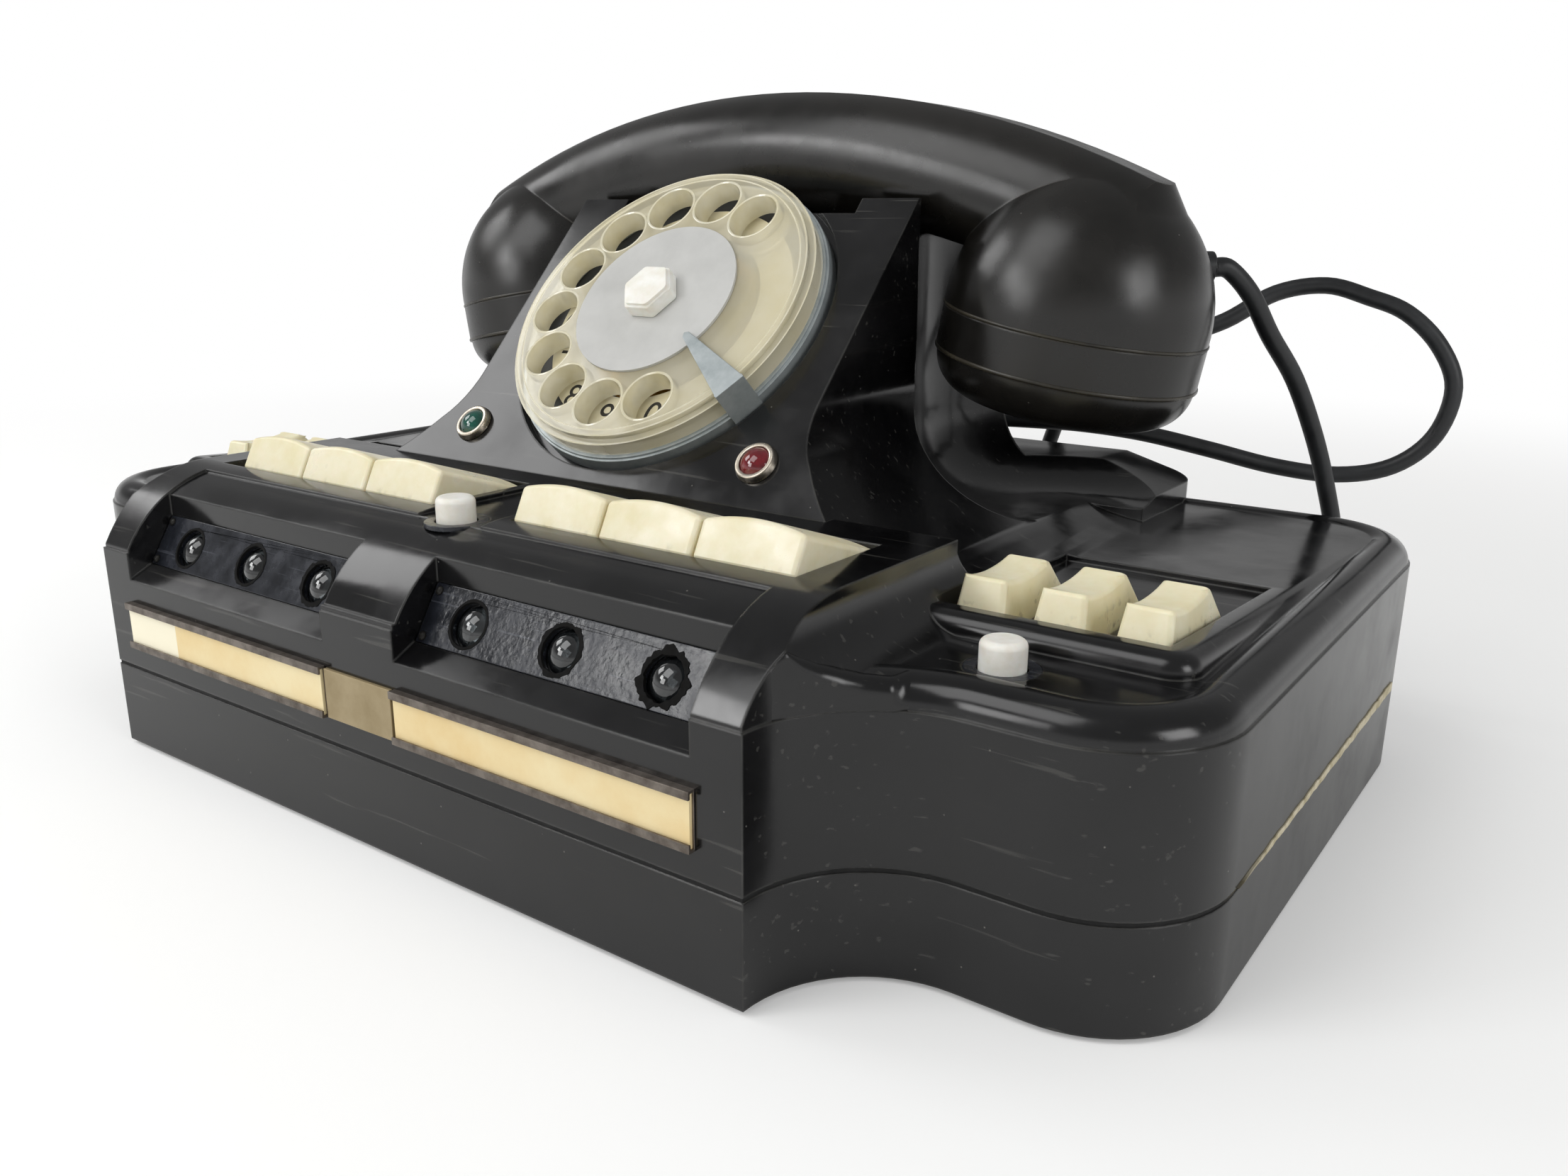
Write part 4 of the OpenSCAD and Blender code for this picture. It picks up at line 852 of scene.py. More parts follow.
def skin(
    name: str, sections: list[list[Vector]], loop: bool, finish: Finish
) -> bpy.types.Object:
    """Makes a closed mesh through a row of sections.

    Args:
        name: the piece's name.
        sections: the sections in order, each a ring of the same number of points, in mm.
        loop: whether the last section joins the first; otherwise both ends are closed.
        finish: the piece's finish.

    Returns:
        The piece, which rides on nothing yet.
    """
    work = bmesh.new()
    rings = [[work.verts.new(point * MM) for point in ring] for ring in sections]
    for one, other in zip(rings, rings[1:] + rings[:1] if loop else rings[1:]):
        for k in range(len(one)):
            n = (k + 1) % len(one)
            work.faces.new((one[k], one[n], other[n], other[k]))
    if not loop:
        work.faces.new(rings[0])
        work.faces.new(rings[-1])
    bmesh.ops.recalc_face_normals(work, faces=work.faces[:])
    mesh = bpy.data.meshes.new(name)
    work.to_mesh(mesh)
    work.free()
    mesh.shade_smooth()
    mesh.set_sharp_from_angle(angle=math.radians(SHARP_DEG))
    mesh.materials.append(finish.material())
    piece = bpy.data.objects.new(name, mesh)
    bpy.context.scene.collection.objects.link(piece)
    LOG.info("%s: %s", name, finish.name)
    return piece


def settle(piece: bpy.types.Object, body: str) -> None:
    """Rides a new piece on a body.

    Args:
        piece: the piece.
        body: the body that it rides on.
    """
    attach(piece, body)


def turned(
    axes: Matrix, steps: int, profile: Callable[[float], list[Span]]
) -> list[list[Vector]]:
    """Turns a section once round an axis.

    Args:
        axes: the turning's own axes in the frame, in mm, with Z as its axis.
        steps: the number of sections.
        profile: gives radius and height of the section's points at an angle.

    Returns:
        The sections in the frame, in mm.
    """
    sections = []
    for i in range(steps):
        angle = 2 * math.pi * i / steps
        way = Vector((math.cos(angle), math.sin(angle), 0.0))
        sections.append(
            [axes @ (way * out + Vector((0.0, 0.0, high))) for out, high in profile(angle)]
        )
    return sections


@dataclass
class PhotoCamera:
    """The camera that the photograph was fitted with."""

    place: Point = (194.0, -223.2, 118.4)
    yaw_deg: float = 35.81
    pitch_deg: float = 16.25
    roll_deg: float = 0.31
    focal_px: float = 1795.0
    photo_width_px: int = 2212
    sensor_mm: float = 36.0
    clip_m: Span = (0.01, 50.0)

    def build(self) -> None:
        """Places the camera and makes it the scene's own."""
        data = bpy.data.cameras.new("photo_camera")
        data.sensor_fit = "HORIZONTAL"
        data.sensor_width = self.sensor_mm
        data.lens = self.sensor_mm * self.focal_px / self.photo_width_px
        data.clip_start, data.clip_end = self.clip_m
        camera = bpy.data.objects.new("photo_camera", data)
        bpy.context.scene.collection.objects.link(camera)
        yaw, pitch, roll = map(math.radians, (self.yaw_deg, self.pitch_deg, self.roll_deg))
        ahead = Vector(
            (
                -math.sin(yaw) * math.cos(pitch),
                math.cos(yaw) * math.cos(pitch),
                -math.sin(pitch),
            )
        )
        level = Vector((math.cos(yaw), math.sin(yaw), 0.0))
        upright = level.cross(ahead)
        right = level * math.cos(roll) + upright * math.sin(roll)
        up = upright * math.cos(roll) - level * math.sin(roll)
        turn = Matrix((right, up, -ahead)).transposed().to_4x4()
        camera.matrix_world = Matrix.Translation(metres(self.place)) @ turn
        bpy.context.scene.camera = camera


@dataclass
class HandsetCord:
    """The handset's cord: a lead from the handset, and its slack.

    Both routes run away from the handset, with depths from the front face.
    """

    diameter: float = 4.2
    sides: int = 16
    steps: int = 6
    lead: tuple[Point, ...] = (
        (102.7, 152.6, 108.4), (105.2, 154.5, 107.9), (109, 159, 102.5), (112.4, 165, 93.5),
        (116.6, 174, 83), (120.4, 182.5, 69), (123, 189, 56), (125, 194, 43),
        (125, 199, 28), (121, 204, 13), (111, 207, 4.4), (98, 207, 2.3),
    )
    slack: tuple[Point, ...] = (
        (98, 207, 2.3), (80, 206, 2.3), (60, 204, 2.3), (40, 202, 2.3), (20, 201, 2.3),
        (2, 203, 2.3), (-12, 208, 2.3), (-19, 217, 2.3), (-14, 226, 2.3), (0, 230, 2.3),
        (15, 227, 2.8), (27, 219, 8), (35, 211, 21), (40, 205, 38), (45, 200, 56),
        (53, 197, 73), (66, 195, 84), (80, 196, 89), (91, 201, 93.5), (101, 208, 100.5),
        (112, 212, 102.6), (122, 214, 100), (131, 215, 96.5), (139, 216, 89),
        (143.5, 216.5, 79), (141, 215.5, 67), (133, 212.5, 59), (121, 208.5, 56),
        (107, 202, 57.5), (92, 194, 61.5), (77, 187, 65), (62, 182.5, 66.5),
        (48, 180, 66.5), (37.5, 176, 66.5), (32, 169, 66.5), (30, 163, 66.5),
        (30, 160.4, 66.5),
    )

    def build(self) -> None:
        """Lays both stretches, each in place of its solid."""
        slack_line = self.line(self.slack[::-1])
        slack = self.tube("cord_slack_sheath", slack_line)
        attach(slack, "base")
        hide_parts("cord_slack")
        lead_line = self.line(self.lead[::-1])
        lead = self.tube("cord_lead_sheath", lead_line)
        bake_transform(lead)
        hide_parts("handset_cord")

    def line(self, route: tuple[Point, ...]) -> list[Vector]:
        """Smooths a route into a line of close points.

        Args:
            route: points measured from the front face, in millimetres.

        Returns:
            The line's points in metres, in the frame.
        """
        marks = [metres((x, y + FRONT_FACE_Y, z)) for x, y, z in route]
        made: list[Vector] = []
        for i in range(len(marks) - 1):
            before, after = marks[max(i - 1, 0)], marks[min(i + 2, len(marks) - 1)]
            here, there = marks[i], marks[i + 1]
            for k in range(self.steps):
                u = k / self.steps
                twice = (
                    2 * here
                    + (there - before) * u
                    + (2 * before - 5 * here + 4 * there - after) * u**2
                    + (3 * here - before - 3 * there + after) * u**3
                )
                made.append(0.5 * twice)
        made.append(marks[-1])
        return made

    def tube(self, name: str, line: list[Vector]) -> bpy.types.Object:
        """Sweeps the sheath along a line, with its ends closed.

        Args:
            name: the piece's name.
            line: the line's points, in metres.

        Returns:
            The sheath as a mesh object.
        """
        radius = self.diameter / 2
        turns = [2 * math.pi * k / self.sides for k in range(self.sides)]
        sections = []
        side = Vector((0.0, 0.0, 1.0))
        for i, centre in enumerate(line):
            along = (line[min(i + 1, len(line) - 1)] - line[max(i - 1, 0)]).normalized()
            side = (side - along * side.dot(along)).normalized()
            other = along.cross(side)
            sections.append(
                [
                    centre / MM + radius * (side * math.cos(turn) + other * math.sin(turn))
                    for turn in turns
                ]
            )
        return skin(name, sections, False, CORD_RUBBER)


@dataclass
class CaseShell:
    """The case: base pan, upper shell, gasket, feet and screws.

    The board is the bare strip in the seam. The blend is the roll that runs
    from a wing's bead round the cove beside the middle block; its angles are
    in degrees round the cove's centre, and foot_top gives the height of the
    block's foot at each.
    """

    dresser: Dresser
    wall_x: float = 148.5
    seam_z: float = 20.1
    board_run: Span = (-41.0, 68.0)
    board_steps: int = 90
    board_half: Span = (0.4, 1.05)
    board_least: float = 0.05
    board_lead: Span = (0.1, 6.0)
    board_ragged: Span = (0.12, 0.06)
    board_waves: Point = (1.7, 0.37, 4.1)  # radians per mm
    board_sway: Span = (0.1, 0.53)
    board_flat: float = 0.7
    board_proud: float = 0.3
    board_deep: float = 0.6
    board_round: float = 0.1
    cove_centre: Span = (113.5, FRONT_FACE_Y)
    cove_r: float = 23.9
    bead_path: float = 29.1
    bead_r: float = 5.2
    crease_z: float = 47.0
    blend_deg: Span = (111.0, 166.0)
    blend_steps: int = 72
    blend_points: int = 24
    blend_rise: float = 0.15
    blend_fall: float = 0.3
    blend_proud: Span = (0.9, 0.6)
    blend_sunk: float = 0.05
    blend_back: float = 3.0
    foot_top: tuple[Span, ...] = (
        (111.0, 51.2), (120.0, 51.3), (128.0, 51.6), (136.0, 52.6),
        (144.0, 54.0), (152.0, 55.8), (158.0, 57.4), (166.0, 54.8),
    )

    def build(self) -> None:
        """Dresses the case."""
        self.dresser.dress(["upper_shell", "base_pan"], CASE_PHENOLIC)
        self.dresser.dress(["seam_gasket"], GASKET_BOARD)
        self.dresser.dress(["rubber_feet", "cord_grommet"], CORD_RUBBER, Edge(0.3))
        self.dresser.dress(["case_screws"], WORKS_STEEL, Edge(0.15))
        self.board_edge()
        for side in Side:
            self.bead_blend(side)

    def board_edge(self) -> None:
        """Lets the board show along the right side, wider and ragged to the rear."""
        inner, outer = self.wall_x - self.board_deep, self.wall_x + self.board_proud
        least, growth = self.board_lead
        sway, sway_rate = self.board_sway
        sections = []
        for i in range(self.board_steps + 1):
            along = i / self.board_steps
            y = between(self.board_run, along)
            short, long, fine = (math.sin(rate * y) for rate in self.board_waves)
            half = between(self.board_half, along)
            half += self.board_ragged[0] * short * long + self.board_ragged[1] * fine
            half = max(half * min(1.0, growth * along + least), self.board_least)
            middle = self.seam_z + sway * math.sin(sway_rate * y)
            outline = (
                (inner, -half),
                (outer - self.board_round, -half),
                (outer, -self.board_flat * half),
                (outer, self.board_flat * half),
                (outer - self.board_round, half),
                (inner, half),
            )
            sections.append([Vector((x, y, middle + up)) for x, up in outline])
        piece = skin("seam_board_edge", sections, False, GASKET_BOARD)
        settle(piece, "base")

    def bead_blend(self, side: Side) -> None:
        """Runs a wing's bead on as a roll along the foot of the middle block.

        Args:
            side: the wing's side.
        """
        sections = []
        for i in range(self.blend_steps + 1):
            along = i / self.blend_steps
            angle_deg = between(self.blend_deg, along)
            grown = ease(along / self.blend_rise)
            kept = ease((1 - along) / self.blend_fall)
            across, back = math.cos(math.radians(angle_deg)), math.sin(math.radians(angle_deg))
            x, y = self.cove_centre
            sections.append(
                [
                    Vector((side.value * (x + out * across), y + out * back, high))
                    for out, high in self.roll_section(angle_deg, grown, kept)
                ]
            )
        name = f"bead_blend_{side.name.lower()}"
        settle(skin(name, sections, False, CASE_PHENOLIC), "base")

    def roll_section(self, angle_deg: float, grown: float, kept: float) -> list[Span]:
        """Draws the roll's section: the bead's own round, grown into a rounded wall.

        Args:
            angle_deg: the section's place round the cove.
            grown: 0 for the bead's round and 1 for the rounded wall.
            kept: how much of the roll's thickness is left.

        Returns:
            Distance from the cove's centre and height of each point.
        """
        proud, above = (kept * amount for amount in self.blend_proud)
        corner = proud + above + math.sqrt(2 * proud * above)
        foot = next(
            between((low, high), (angle_deg - start) / (end - start))
            for (start, low), (end, high) in zip(self.foot_top, self.foot_top[1:])
            if angle_deg <= end
        )
        face, shoulder = self.cove_r - proud, above + foot - corner
        hidden = self.bead_r - self.blend_sunk
        points = []
        for k in range(self.blend_points + 1):
            share = k / self.blend_points
            turn, bend = math.pi / 2 * share, math.pi * max(share - 0.5, 0.0)
            bead = Vector((-math.cos(turn), math.sin(turn))) * hidden
            bead += Vector((self.bead_path, self.crease_z))
            wall = Vector((1 - math.cos(bend), math.sin(bend))) * corner
            wall += Vector((face, between((self.crease_z, shoulder), min(2 * share, 1.0))))
            points.append(tuple(bead.lerp(wall, grown)))
        points.append((self.bead_path, self.crease_z + self.blend_back))
        points.append((self.bead_path, self.crease_z))
        return points


@dataclass
class LampFront:
    """The front: lamp windows with their lenses, and the label strips.

    The paint round each lamp hole has a torn edge. Its sizes come in pairs:
    what every edge has, and what its raggedness adds.
    """

    dresser: Dresser
    panel_foot: Point = (0.0, 5.1 + FRONT_FACE_Y, 43.7)
    panel_lean_deg: float = 31.8
    lamp_up: float = 5.55
    lamp_r: float = 4.3
    lamps: tuple[float, ...] = (22.3, 45.25, 68.2, -22.3, -45.25, -68.2)
    torn: tuple[float, ...] = (0.12, 0.45, 1.0, 0.5, 0.25, 0.12)
    torn_steps: int = 96
    torn_lobes: tuple[Span, ...] = ((3, 0.3), (7, 0.3), (11, 0.25), (17, 0.2), (26, 0.15))
    torn_out: Span = (0.5, 0.45)
    torn_wave: float = 0.75
    torn_least: float = 0.25
    torn_in: Span = (0.2, 0.25)
    torn_proud: Span = (0.1, 0.12)
    torn_sunk: Span = (0.4, 0.2)
    torn_slope: Span = (0.1, 0.15)

    def build(self) -> None:
        """Dresses the front."""
        panels = ["lamp_panel_left", "lamp_panel_right"]
        rails = ["label_rails_left", "label_rails_right"]
        self.dresser.dress(panels, PANEL_PAINT, Edge(0.2, 2))
        # The rivets are painted dark grey as the shade of their holes
        self.dresser.dress(["panel_rivets"], RIVET_SHADE)
        # The lamp holders are painted nearly black as the cavity's shade
        self.dresser.dress(["lamp_units"], SOCKET_SHADE)
        # The lenses are tinted dark grey as the cavity's shade seen through them
        self.dresser.dress(["lamp_lenses"], LENS_SHADED)
        self.dresser.dress(rails, RAIL_STEEL, Edge(0.12, 2))
        self.dresser.dress(["label_cards"], CARD_PAPER)
        self.dresser.dress(["centre_plate"], PLATE_NICKEL, Edge(0.15, 2))
        for number, (x, raggedness) in enumerate(zip(self.lamps, self.torn), start=1):
            self.torn_edge(x, raggedness, number)

    def torn_edge(self, x: float, raggedness: float, number: int) -> None:
        """Lays the torn edge of the paint round one lamp hole, its dead black partly painted shade
        of the hole's rim.

        Args:
            x: the lamp's place along the panel.
            raggedness: how far the edge is torn.
            number: the lamp's number, which makes each edge its own.
        """

        def profile(angle: float) -> list[Span]:
            """Gives radius and height of the torn edge's section at an angle."""
            wave = sum(
                weight * math.sin(lobes * angle + number * lobes)
                for lobes, weight in self.torn_lobes
            )
            out = self.torn_out[0] + raggedness * (self.torn_out[1] + self.torn_wave * wave)
            outer = self.lamp_r + max(out, self.torn_least)
            inner = self.lamp_r - self.torn_in[0] - self.torn_in[1] * raggedness * (1 + wave)
            proud = self.torn_proud[0] + self.torn_proud[1] * raggedness * abs(wave)
            return [
                (inner, -self.torn_sunk[0]),
                (inner + self.torn_slope[0], proud),
                (outer - self.torn_slope[1], proud),
                (outer, -self.torn_sunk[1]),
            ]

        lean = Matrix.Rotation(math.radians(90 - self.panel_lean_deg), 4, "X")
        hole = Matrix.Translation((x, self.lamp_up, 0.0))
        axes = Matrix.Translation(self.panel_foot) @ lean @ hole
        sections = turned(axes, self.torn_steps, profile)
        piece = skin(f"lamp_hole_edge_{number}", sections, True, TORN_PAINT_SHADE)
        settle(piece, "base")


@dataclass
class Dial:
    """The dial: ring, number ring with its digits, wheel, disc and stop.

    Heights are above the ring's face. The lip's section is given by radius
    from the hole's axis and height; the hole's own radius is 6 mm, and the
    wheel reaches from 1.9 mm to 7.3 mm.
    """

    dresser: Dresser
    plate_high: float = -0.8
    number_high: float = 1.4
    digits: str = "1234567890"
    digit_circle: float = 28.5
    first_deg: float = 59.0
    step_deg: float = 26.3
    digit_slip_deg: float = -4.5
    digit_size: float = 8.6
    print_depth: float = 0.06
    hole_lip: tuple[Span, ...] = (
        (5.72, 2.0), (6.05, 2.0), (6.45, 7.32), (6.2, 7.42), (5.9, 7.25),
    )
    hole_steps: int = 40
    rim_lines: tuple[Span, ...] = ((37.1, 7.3), (35.6, 7.3), (38.45, 5.8))
    line_half: Span = (0.22, 0.1)
    ring_steps: int = 120

    def build(self) -> None:
        """Dresses the dial and prints its digits."""
        self.dresser.dress(["dial_ring", "finger_stop"], ZINC_PLATE, Edge(0.15))
        self.dresser.dress(["number_plate"], NUMBER_ENAMEL)
        self.dresser.dress(["finger_wheel"], WHEEL_ACRYLIC)
        self.dresser.dress(["dial_disc"], DISC_GREY)
        self.dresser.dress(["dial_cap"], WHITE_UREA, Edge(0.5))
        self.dresser.dress(["dial_shaft"], WORKS_STEEL)
        self.dresser.dress(["jewel_bezels"], BEZEL_NICKEL, Edge(0.3))
        self.dresser.dress(["jewel_red"], JEWEL_RED)
        self.dresser.dress(["jewel_green"], JEWEL_GREEN)
        self.number_card()
        for place, digit in enumerate(self.digits):
            angle_deg = self.first_deg + place * self.step_deg
            self.print_digit(digit, angle_deg + self.digit_slip_deg)
            hole = self.face() @ Matrix.Translation(self.on_circle(angle_deg, 0.0))
            self.lip(f"hole_lip_{digit}", hole, self.hole_lip, self.hole_steps)
        wide, tall = self.line_half
        for number, (out, high) in enumerate(self.rim_lines, start=1):
            line = ((out - wide, high - tall), (out, high + tall), (out + wide, high - tall))
            self.lip(f"wheel_rim_line_{number}", self.face(), line, self.ring_steps)

    def number_card(self) -> None:
        """Raises the ring that carries the digits to just under the wheel."""
        inner, outer = NUMBER_BAND
        profile = [
            (inner, self.plate_high),
            (inner, self.number_high),
            (outer, self.number_high),
            (outer, self.plate_high),
        ]
        sections = turned(self.face(), self.ring_steps, lambda angle: profile)
        settle(skin("number_card", sections, True, NUMBER_ENAMEL), "base")

    def lip(self, name: str, axes: Matrix, profile: tuple[Span, ...], steps: int) -> None:
        """Turns a polished lip on the wheel, painted paler as a highlight.

        Args:
            name: the piece's name.
            axes: the lip's own axes, in mm.
            profile: radius and height of the points of its section.
            steps: the number of sections.
        """
        sections = turned(axes, steps, lambda angle: list(profile))
        settle(skin(name, sections, True, WHEEL_LIP_HIGHLIGHT), "dial_wheel")

    def print_digit(self, digit: str, angle_deg: float) -> None:
        """Prints one digit on the number ring.

        Args:
            digit: the figure.
            angle_deg: its place round the ring, from the right and upwards.
        """
        text = bpy.data.curves.new(f"digit_{digit}", "FONT")
        text.body = digit
        text.size = self.digit_size * MM
        text.extrude = self.print_depth * MM / 2
        text.align_x, text.align_y = "CENTER", "CENTER"
        text.materials.append(PRINT_INK.material())
        figure = bpy.data.objects.new(f"digit_{digit}", text)
        bpy.context.scene.collection.objects.link(figure)
        axes = self.face()
        spot = axes @ self.on_circle(angle_deg, self.number_high + self.print_depth / 2)
        figure.matrix_world = Matrix.Translation(spot * MM) @ axes.to_3x3().to_4x4()
        settle(figure, "base")
        LOG.info("%s: %s", figure.name, PRINT_INK.name)

    def on_circle(self, angle_deg: float, high: float) -> Vector:
        """Gives a point over the circle of the digits, in the face's own axes."""
        angle = math.radians(angle_deg)
        out = self.digit_circle
        return Vector((out * math.cos(angle), out * math.sin(angle), high))

    def face(self) -> Matrix:
        """Gives the dial face's own axes in mm, with Z out of the face."""
        turn = Matrix.Rotation(math.radians(DIAL_SLOPE_DEG), 4, "X")
        return Matrix.Translation(DIAL_CENTRE) @ turn


@dataclass
class KeyBanks:
    """The front and wing keys with the push buttons between them."""

    dresser: Dresser
    front_keys: int = 6
    wing_keys: int = 3

    def build(self) -> None:
        """Dresses keys and buttons."""
        front = [f"key_front_{i + 1}" for i in range(self.front_keys)]
        wings = [
            f"key_{side}_{i + 1}" for side in ("left", "right") for i in range(self.wing_keys)
        ]
        buttons = ["front_button", "left_button", "right_button"]
        self.dresser.dress(front, IVORY_UREA, Edge(0.9, 4, shortest_mm=0.8))
        # The wing keys take the paler copy of the ivory, painted light for their dimmer lighting
        self.dresser.dress(wings, WING_IVORY_LIT, Edge(1.0, 4, shortest_mm=0.8))
        self.dresser.dress(buttons, WHITE_UREA, Edge(0.3))
        self.dresser.dress(["button_collars"], PANEL_PAINT, Edge(0.2))
        self.dresser.dress(["hook_plungers"], WHITE_UREA, Edge(0.3, shortest_mm=1.0))


@dataclass
class Handset:
    """The handset with its two caps and the cord's grommet.

    A rim has a name, a height over the joint of cap and dome, a width, and
    the amount by which it stands out.
    """

    dresser: Dresser
    dome: Point = (78.4, 135.0 + FRONT_FACE_Y, 96.4)
    dome_tilt_deg: float = 10.0
    dome_r: float = 29.0
    rims: tuple[tuple[str, float, float, float], ...] = (
        ("joint", 0.35, 0.7, 0.2),
        ("edge", -9.2, 0.9, 0.26),
    )
    rim_sunk: float = 0.6
    rim_points: int = 6
    rim_steps: int = 144

    def build(self) -> None:
        """Dresses the handset."""
        self.dresser.dress(["handset_body", "ear_cap", "mouth_cap"], HANDSET_PHENOLIC)
        self.dresser.dress(["handset_grommet"], CORD_RUBBER, Edge(0.4))
        self.dresser.dress(["receiver_capsule", "transmitter_capsule"], WORKS_STEEL)
        for side, cap in ((Side.RIGHT, "ear"), (Side.LEFT, "mouth")):
            for rim, high, width, proud in self.rims:
                self.scuffed_highlit_rim(f"{cap}_{rim}_rim", side, high, width, proud)

    def scuffed_highlit_rim(self, name: str, side: Side, high: float, width: float, proud: float) -> None:
        """Turns a fine raised rim round one cap, grey-brown with scuffing and a painted highlight.

        Args:
            name: the piece's name.
            side: the dome's side.
            high: the middle of the rim above the joint of cap and dome.
            width: the rim's width.
            proud: how far it stands out.
        """
        x, y, z = self.dome
        tilt = Matrix.Rotation(math.radians(side.value * self.dome_tilt_deg), 4, "Y")
        axes = Matrix.Translation((side.value * x, y, z)) @ tilt
        half, root = width / 2, self.dome_r - self.rim_sunk
        profile = [(root, high - half), (root, high + half)]
        for k in range(self.rim_points + 1):
            turn = math.pi * (0.5 - k / self.rim_points)
            out = self.dome_r + proud * math.cos(turn)
            profile.append((out, high + half * math.sin(turn)))
        sections = turned(axes, self.rim_steps, lambda angle: profile)
        settle(skin(name, sections, True, RIM_WEAR_AND_HIGHLIGHT), "handset")


@dataclass
class InnerWorks:
    """What the case holds: ringer, coils, switches and the dial movement."""

    dresser: Dresser

    def build(self) -> None:
        """Dresses the works."""
        brass = ["dial_movement", "hook_switch", "ringer_gongs", "key_switches"]
        self.dresser.dress(brass, BRASS)
        self.dresser.dress(["key_rods", "chassis_plate", "capacitor"], WORKS_STEEL)
        self.dresser.dress(["ringer_coils", "induction_coil"], WINDING)
        self.dresser.dress(["terminal_strip"], STRIP_PHENOLIC)


@dataclass(frozen=True)
class Softbox:
    """A square soft light: its name, where it hangs, its side and its power."""

    name: str
    place: Point
    side: float
    watts: float

    def build(self, aim: Point) -> None:
        """Hangs the light.

        Args:
            aim: the point it faces.
        """
        data = bpy.data.lights.new(self.name, "AREA")
        data.size = self.side * MM
        data.energy = self.watts
        lamp = bpy.data.objects.new(self.name, data)
        bpy.context.scene.collection.objects.link(lamp)
        lamp.location = metres(self.place)
        lamp.rotation_mode = "QUATERNION"
        lamp.rotation_quaternion = (metres(aim) - metres(self.place)).to_track_quat("-Z", "Y")


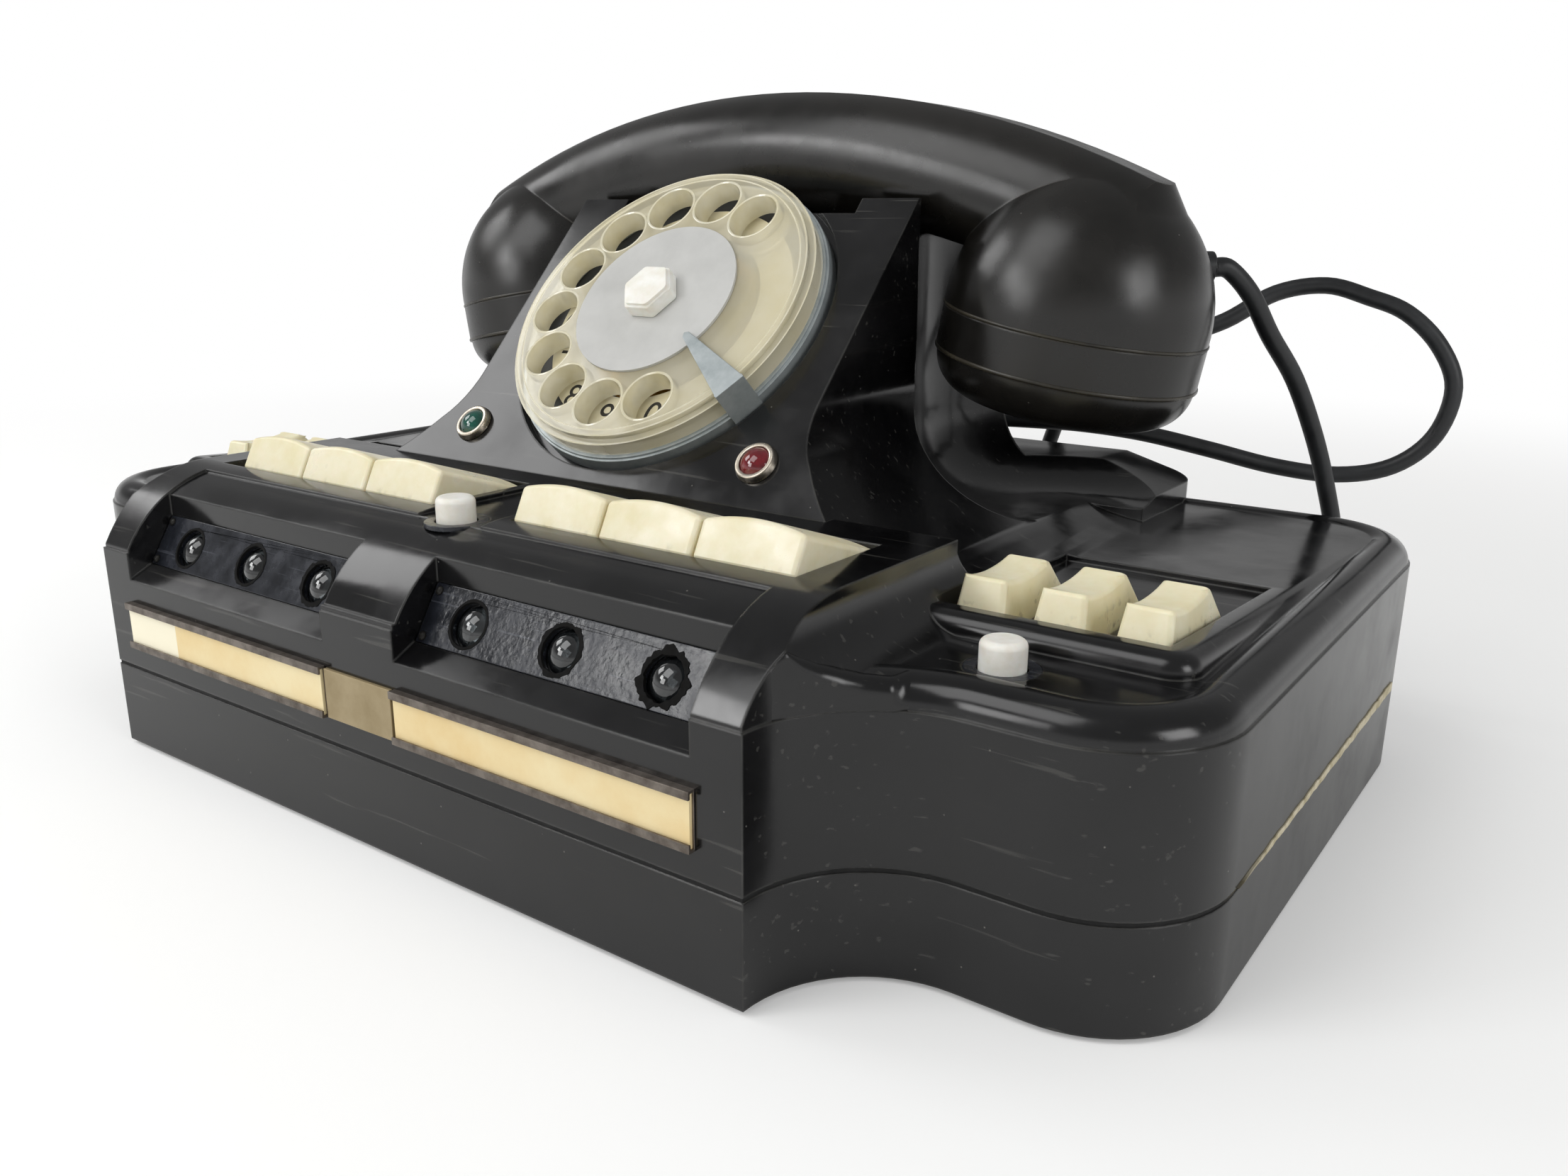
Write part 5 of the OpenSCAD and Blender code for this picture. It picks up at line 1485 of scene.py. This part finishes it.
@dataclass
class Studio:
    """A pale floor that runs out to white, a white surround and soft lights.

    The floor keeps the object's shadow up to the first distance of shadow_m
    and is white from the second on. Strengths are shares of white: lift is
    added to the near floor for the camera, ambient lights the object, and
    gloss sees mirrored in the far floor and the sky from low_sky to high_sky.
    """

    floor_m: float = 12.0
    floor_colour: str = "#efefee"
    floor_grain_mm: Span = (3.0, 0.02)
    shadow_m: Span = (0.3, 0.75)
    lift: float = 0.2
    sky_rise: Span = (0.03, 0.3)
    low_sky: float = 0.8
    high_sky: float = 0.26
    ambient: float = 0.5
    mirrored: float = 0.68
    white: str = "#ffffff"
    aim: Point = (0, 0, 60)
    lights: tuple[Softbox, ...] = (
        Softbox("left_window", (-620, -815, 625), 270, 1.6),
        Softbox("front_window", (-460, -1060, 480), 400, 2.1),
        Softbox("high_window", (-950, -270, 760), 440, 2.0),
        Softbox("front_fill", (-250, -600, 950), 620, 2.8),
        Softbox("right_window", (1050, -180, 470), 430, 2.4),
    )

    def build(self) -> None:
        """Makes the floor, the surround and the lights."""
        bpy.context.scene.view_settings.view_transform = "Standard"
        self.floor()
        self.world()
        for light in self.lights:
            light.build(self.aim)

    def floor(self) -> None:
        """Lays the floor."""
        half = self.floor_m / 2
        mesh = bpy.data.meshes.new("floor")
        corners = [(-half, -half, 0), (half, -half, 0), (half, half, 0), (-half, half, 0)]
        mesh.from_pydata(corners, [], [(0, 1, 2, 3)])
        mesh.materials.append(self.paper())
        floor = bpy.data.objects.new("floor", mesh)
        bpy.context.scene.collection.objects.link(floor)

    def seen(self, tree: Tree) -> Socket:
        """Finds the rays that look at the background straight, in gloss or in glass.

        Args:
            tree: the node tree that asks.

        Returns:
            A socket of 1 for such a ray and 0 for any other.
        """
        path = add_node(tree, "ShaderNodeLightPath").outputs
        rays = path["Is Camera Ray"]
        for kind in ("Is Glossy Ray", "Is Transmission Ray"):
            both = {0: rays, 1: path[kind]}
            added = add_node(tree, "ShaderNodeMath", both, operation="ADD", use_clamp=True)
            rays = added.outputs["Value"]
        return rays

    def paper(self) -> bpy.types.Material:
        """Makes white seamless paper: it keeps the shadow near the object only.

        Returns:
            The floor's material.
        """
        made = bpy.data.materials.new("paper_seamless_white")
        tree = cleared(made)
        place = add_node(tree, "ShaderNodeTexCoord").outputs["Object"]
        away = add_node(tree, "ShaderNodeVectorMath", {0: place}, operation="LENGTH")
        near_m, far_m = self.shadow_m
        far = add_node(
            tree,
            "ShaderNodeMapRange",
            {"Value": away.outputs["Value"], "From Min": near_m, "From Max": far_m},
            interpolation_type="SMOOTHSTEP",
        )
        straight = add_node(tree, "ShaderNodeLightPath").outputs["Is Camera Ray"]
        lift = add_node(tree, "ShaderNodeMath", {0: straight, 1: self.lift}, operation="MULTIPLY")
        bright = add_node(
            tree, "ShaderNodeMapRange", {"Value": straight, "To Min": self.mirrored, "To Max": 1.0}
        )
        width, depth = self.floor_grain_mm
        grain = add_node(
            tree,
            "ShaderNodeTexNoise",
            {"Vector": place, "Scale": per_metre(width), "Detail": 3.0},
        )
        bump = add_node(
            tree, "ShaderNodeBump", {"Height": grain.outputs["Fac"], "Distance": depth * MM}
        )
        sheet = add_node(
            tree,
            "ShaderNodeBsdfDiffuse",
            {"Color": linear(self.floor_colour), "Normal": bump.outputs["Normal"]},
        )
        glow, white = (
            add_node(
                tree, "ShaderNodeEmission", {"Color": linear(self.white), "Strength": strength}
            )
            for strength in (lift.outputs["Value"], bright.outputs["Result"])
        )
        near = add_node(tree, "ShaderNodeAddShader", {0: sheet.outputs[0], 1: glow.outputs[0]})
        both = {0: far.outputs["Result"], 1: self.seen(tree)}
        out = add_node(tree, "ShaderNodeMath", both, operation="MULTIPLY")
        whole = add_node(
            tree,
            "ShaderNodeMixShader",
            {0: out.outputs["Value"], 1: near.outputs[0], 2: white.outputs[0]},
        )
        add_node(tree, "ShaderNodeOutputMaterial", {"Surface": whole.outputs[0]})
        return made

    def world(self) -> None:
        """Makes the surround: white to the camera and low down, dimmer overhead."""
        world = bpy.data.worlds.new("surround")
        tree = cleared(world)
        way = add_node(tree, "ShaderNodeTexCoord").outputs["Generated"]
        height = add_node(tree, "ShaderNodeSeparateXYZ", {"Vector": way}).outputs["Z"]
        low, high = self.sky_rise
        sky = add_node(
            tree,
            "ShaderNodeMapRange",
            {
                "Value": height,
                "From Min": low,
                "From Max": high,
                "To Min": self.low_sky,
                "To Max": self.high_sky,
            },
            interpolation_type="SMOOTHSTEP",
        ).outputs["Result"]
        mirrored = add_node(
            tree,
            "ShaderNodeMapRange",
            {"Value": self.seen(tree), "To Min": self.ambient, "To Max": sky},
        ).outputs["Result"]
        straight = add_node(tree, "ShaderNodeLightPath").outputs["Is Camera Ray"]
        strength = add_node(
            tree, "ShaderNodeMapRange", {"Value": straight, "To Min": mirrored, "To Max": 1.0}
        ).outputs["Result"]
        light = add_node(
            tree, "ShaderNodeBackground", {"Color": linear(self.white), "Strength": strength}
        )
        add_node(tree, "ShaderNodeOutputWorld", {"Surface": light.outputs["Background"]})
        bpy.context.scene.world = world


def main() -> None:
    """Builds the telephone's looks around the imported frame."""
    logging.basicConfig(level=logging.INFO, format="%(name)s: %(message)s")
    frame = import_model()
    PhotoCamera().build()
    HandsetCord().build()
    dresser = Dresser(frame["nodes"])
    for part in (CaseShell, LampFront, Dial, KeyBanks, Handset, InnerWorks):
        part(dresser).build()
    Studio().build()


if __name__ == "__main__":
    main()
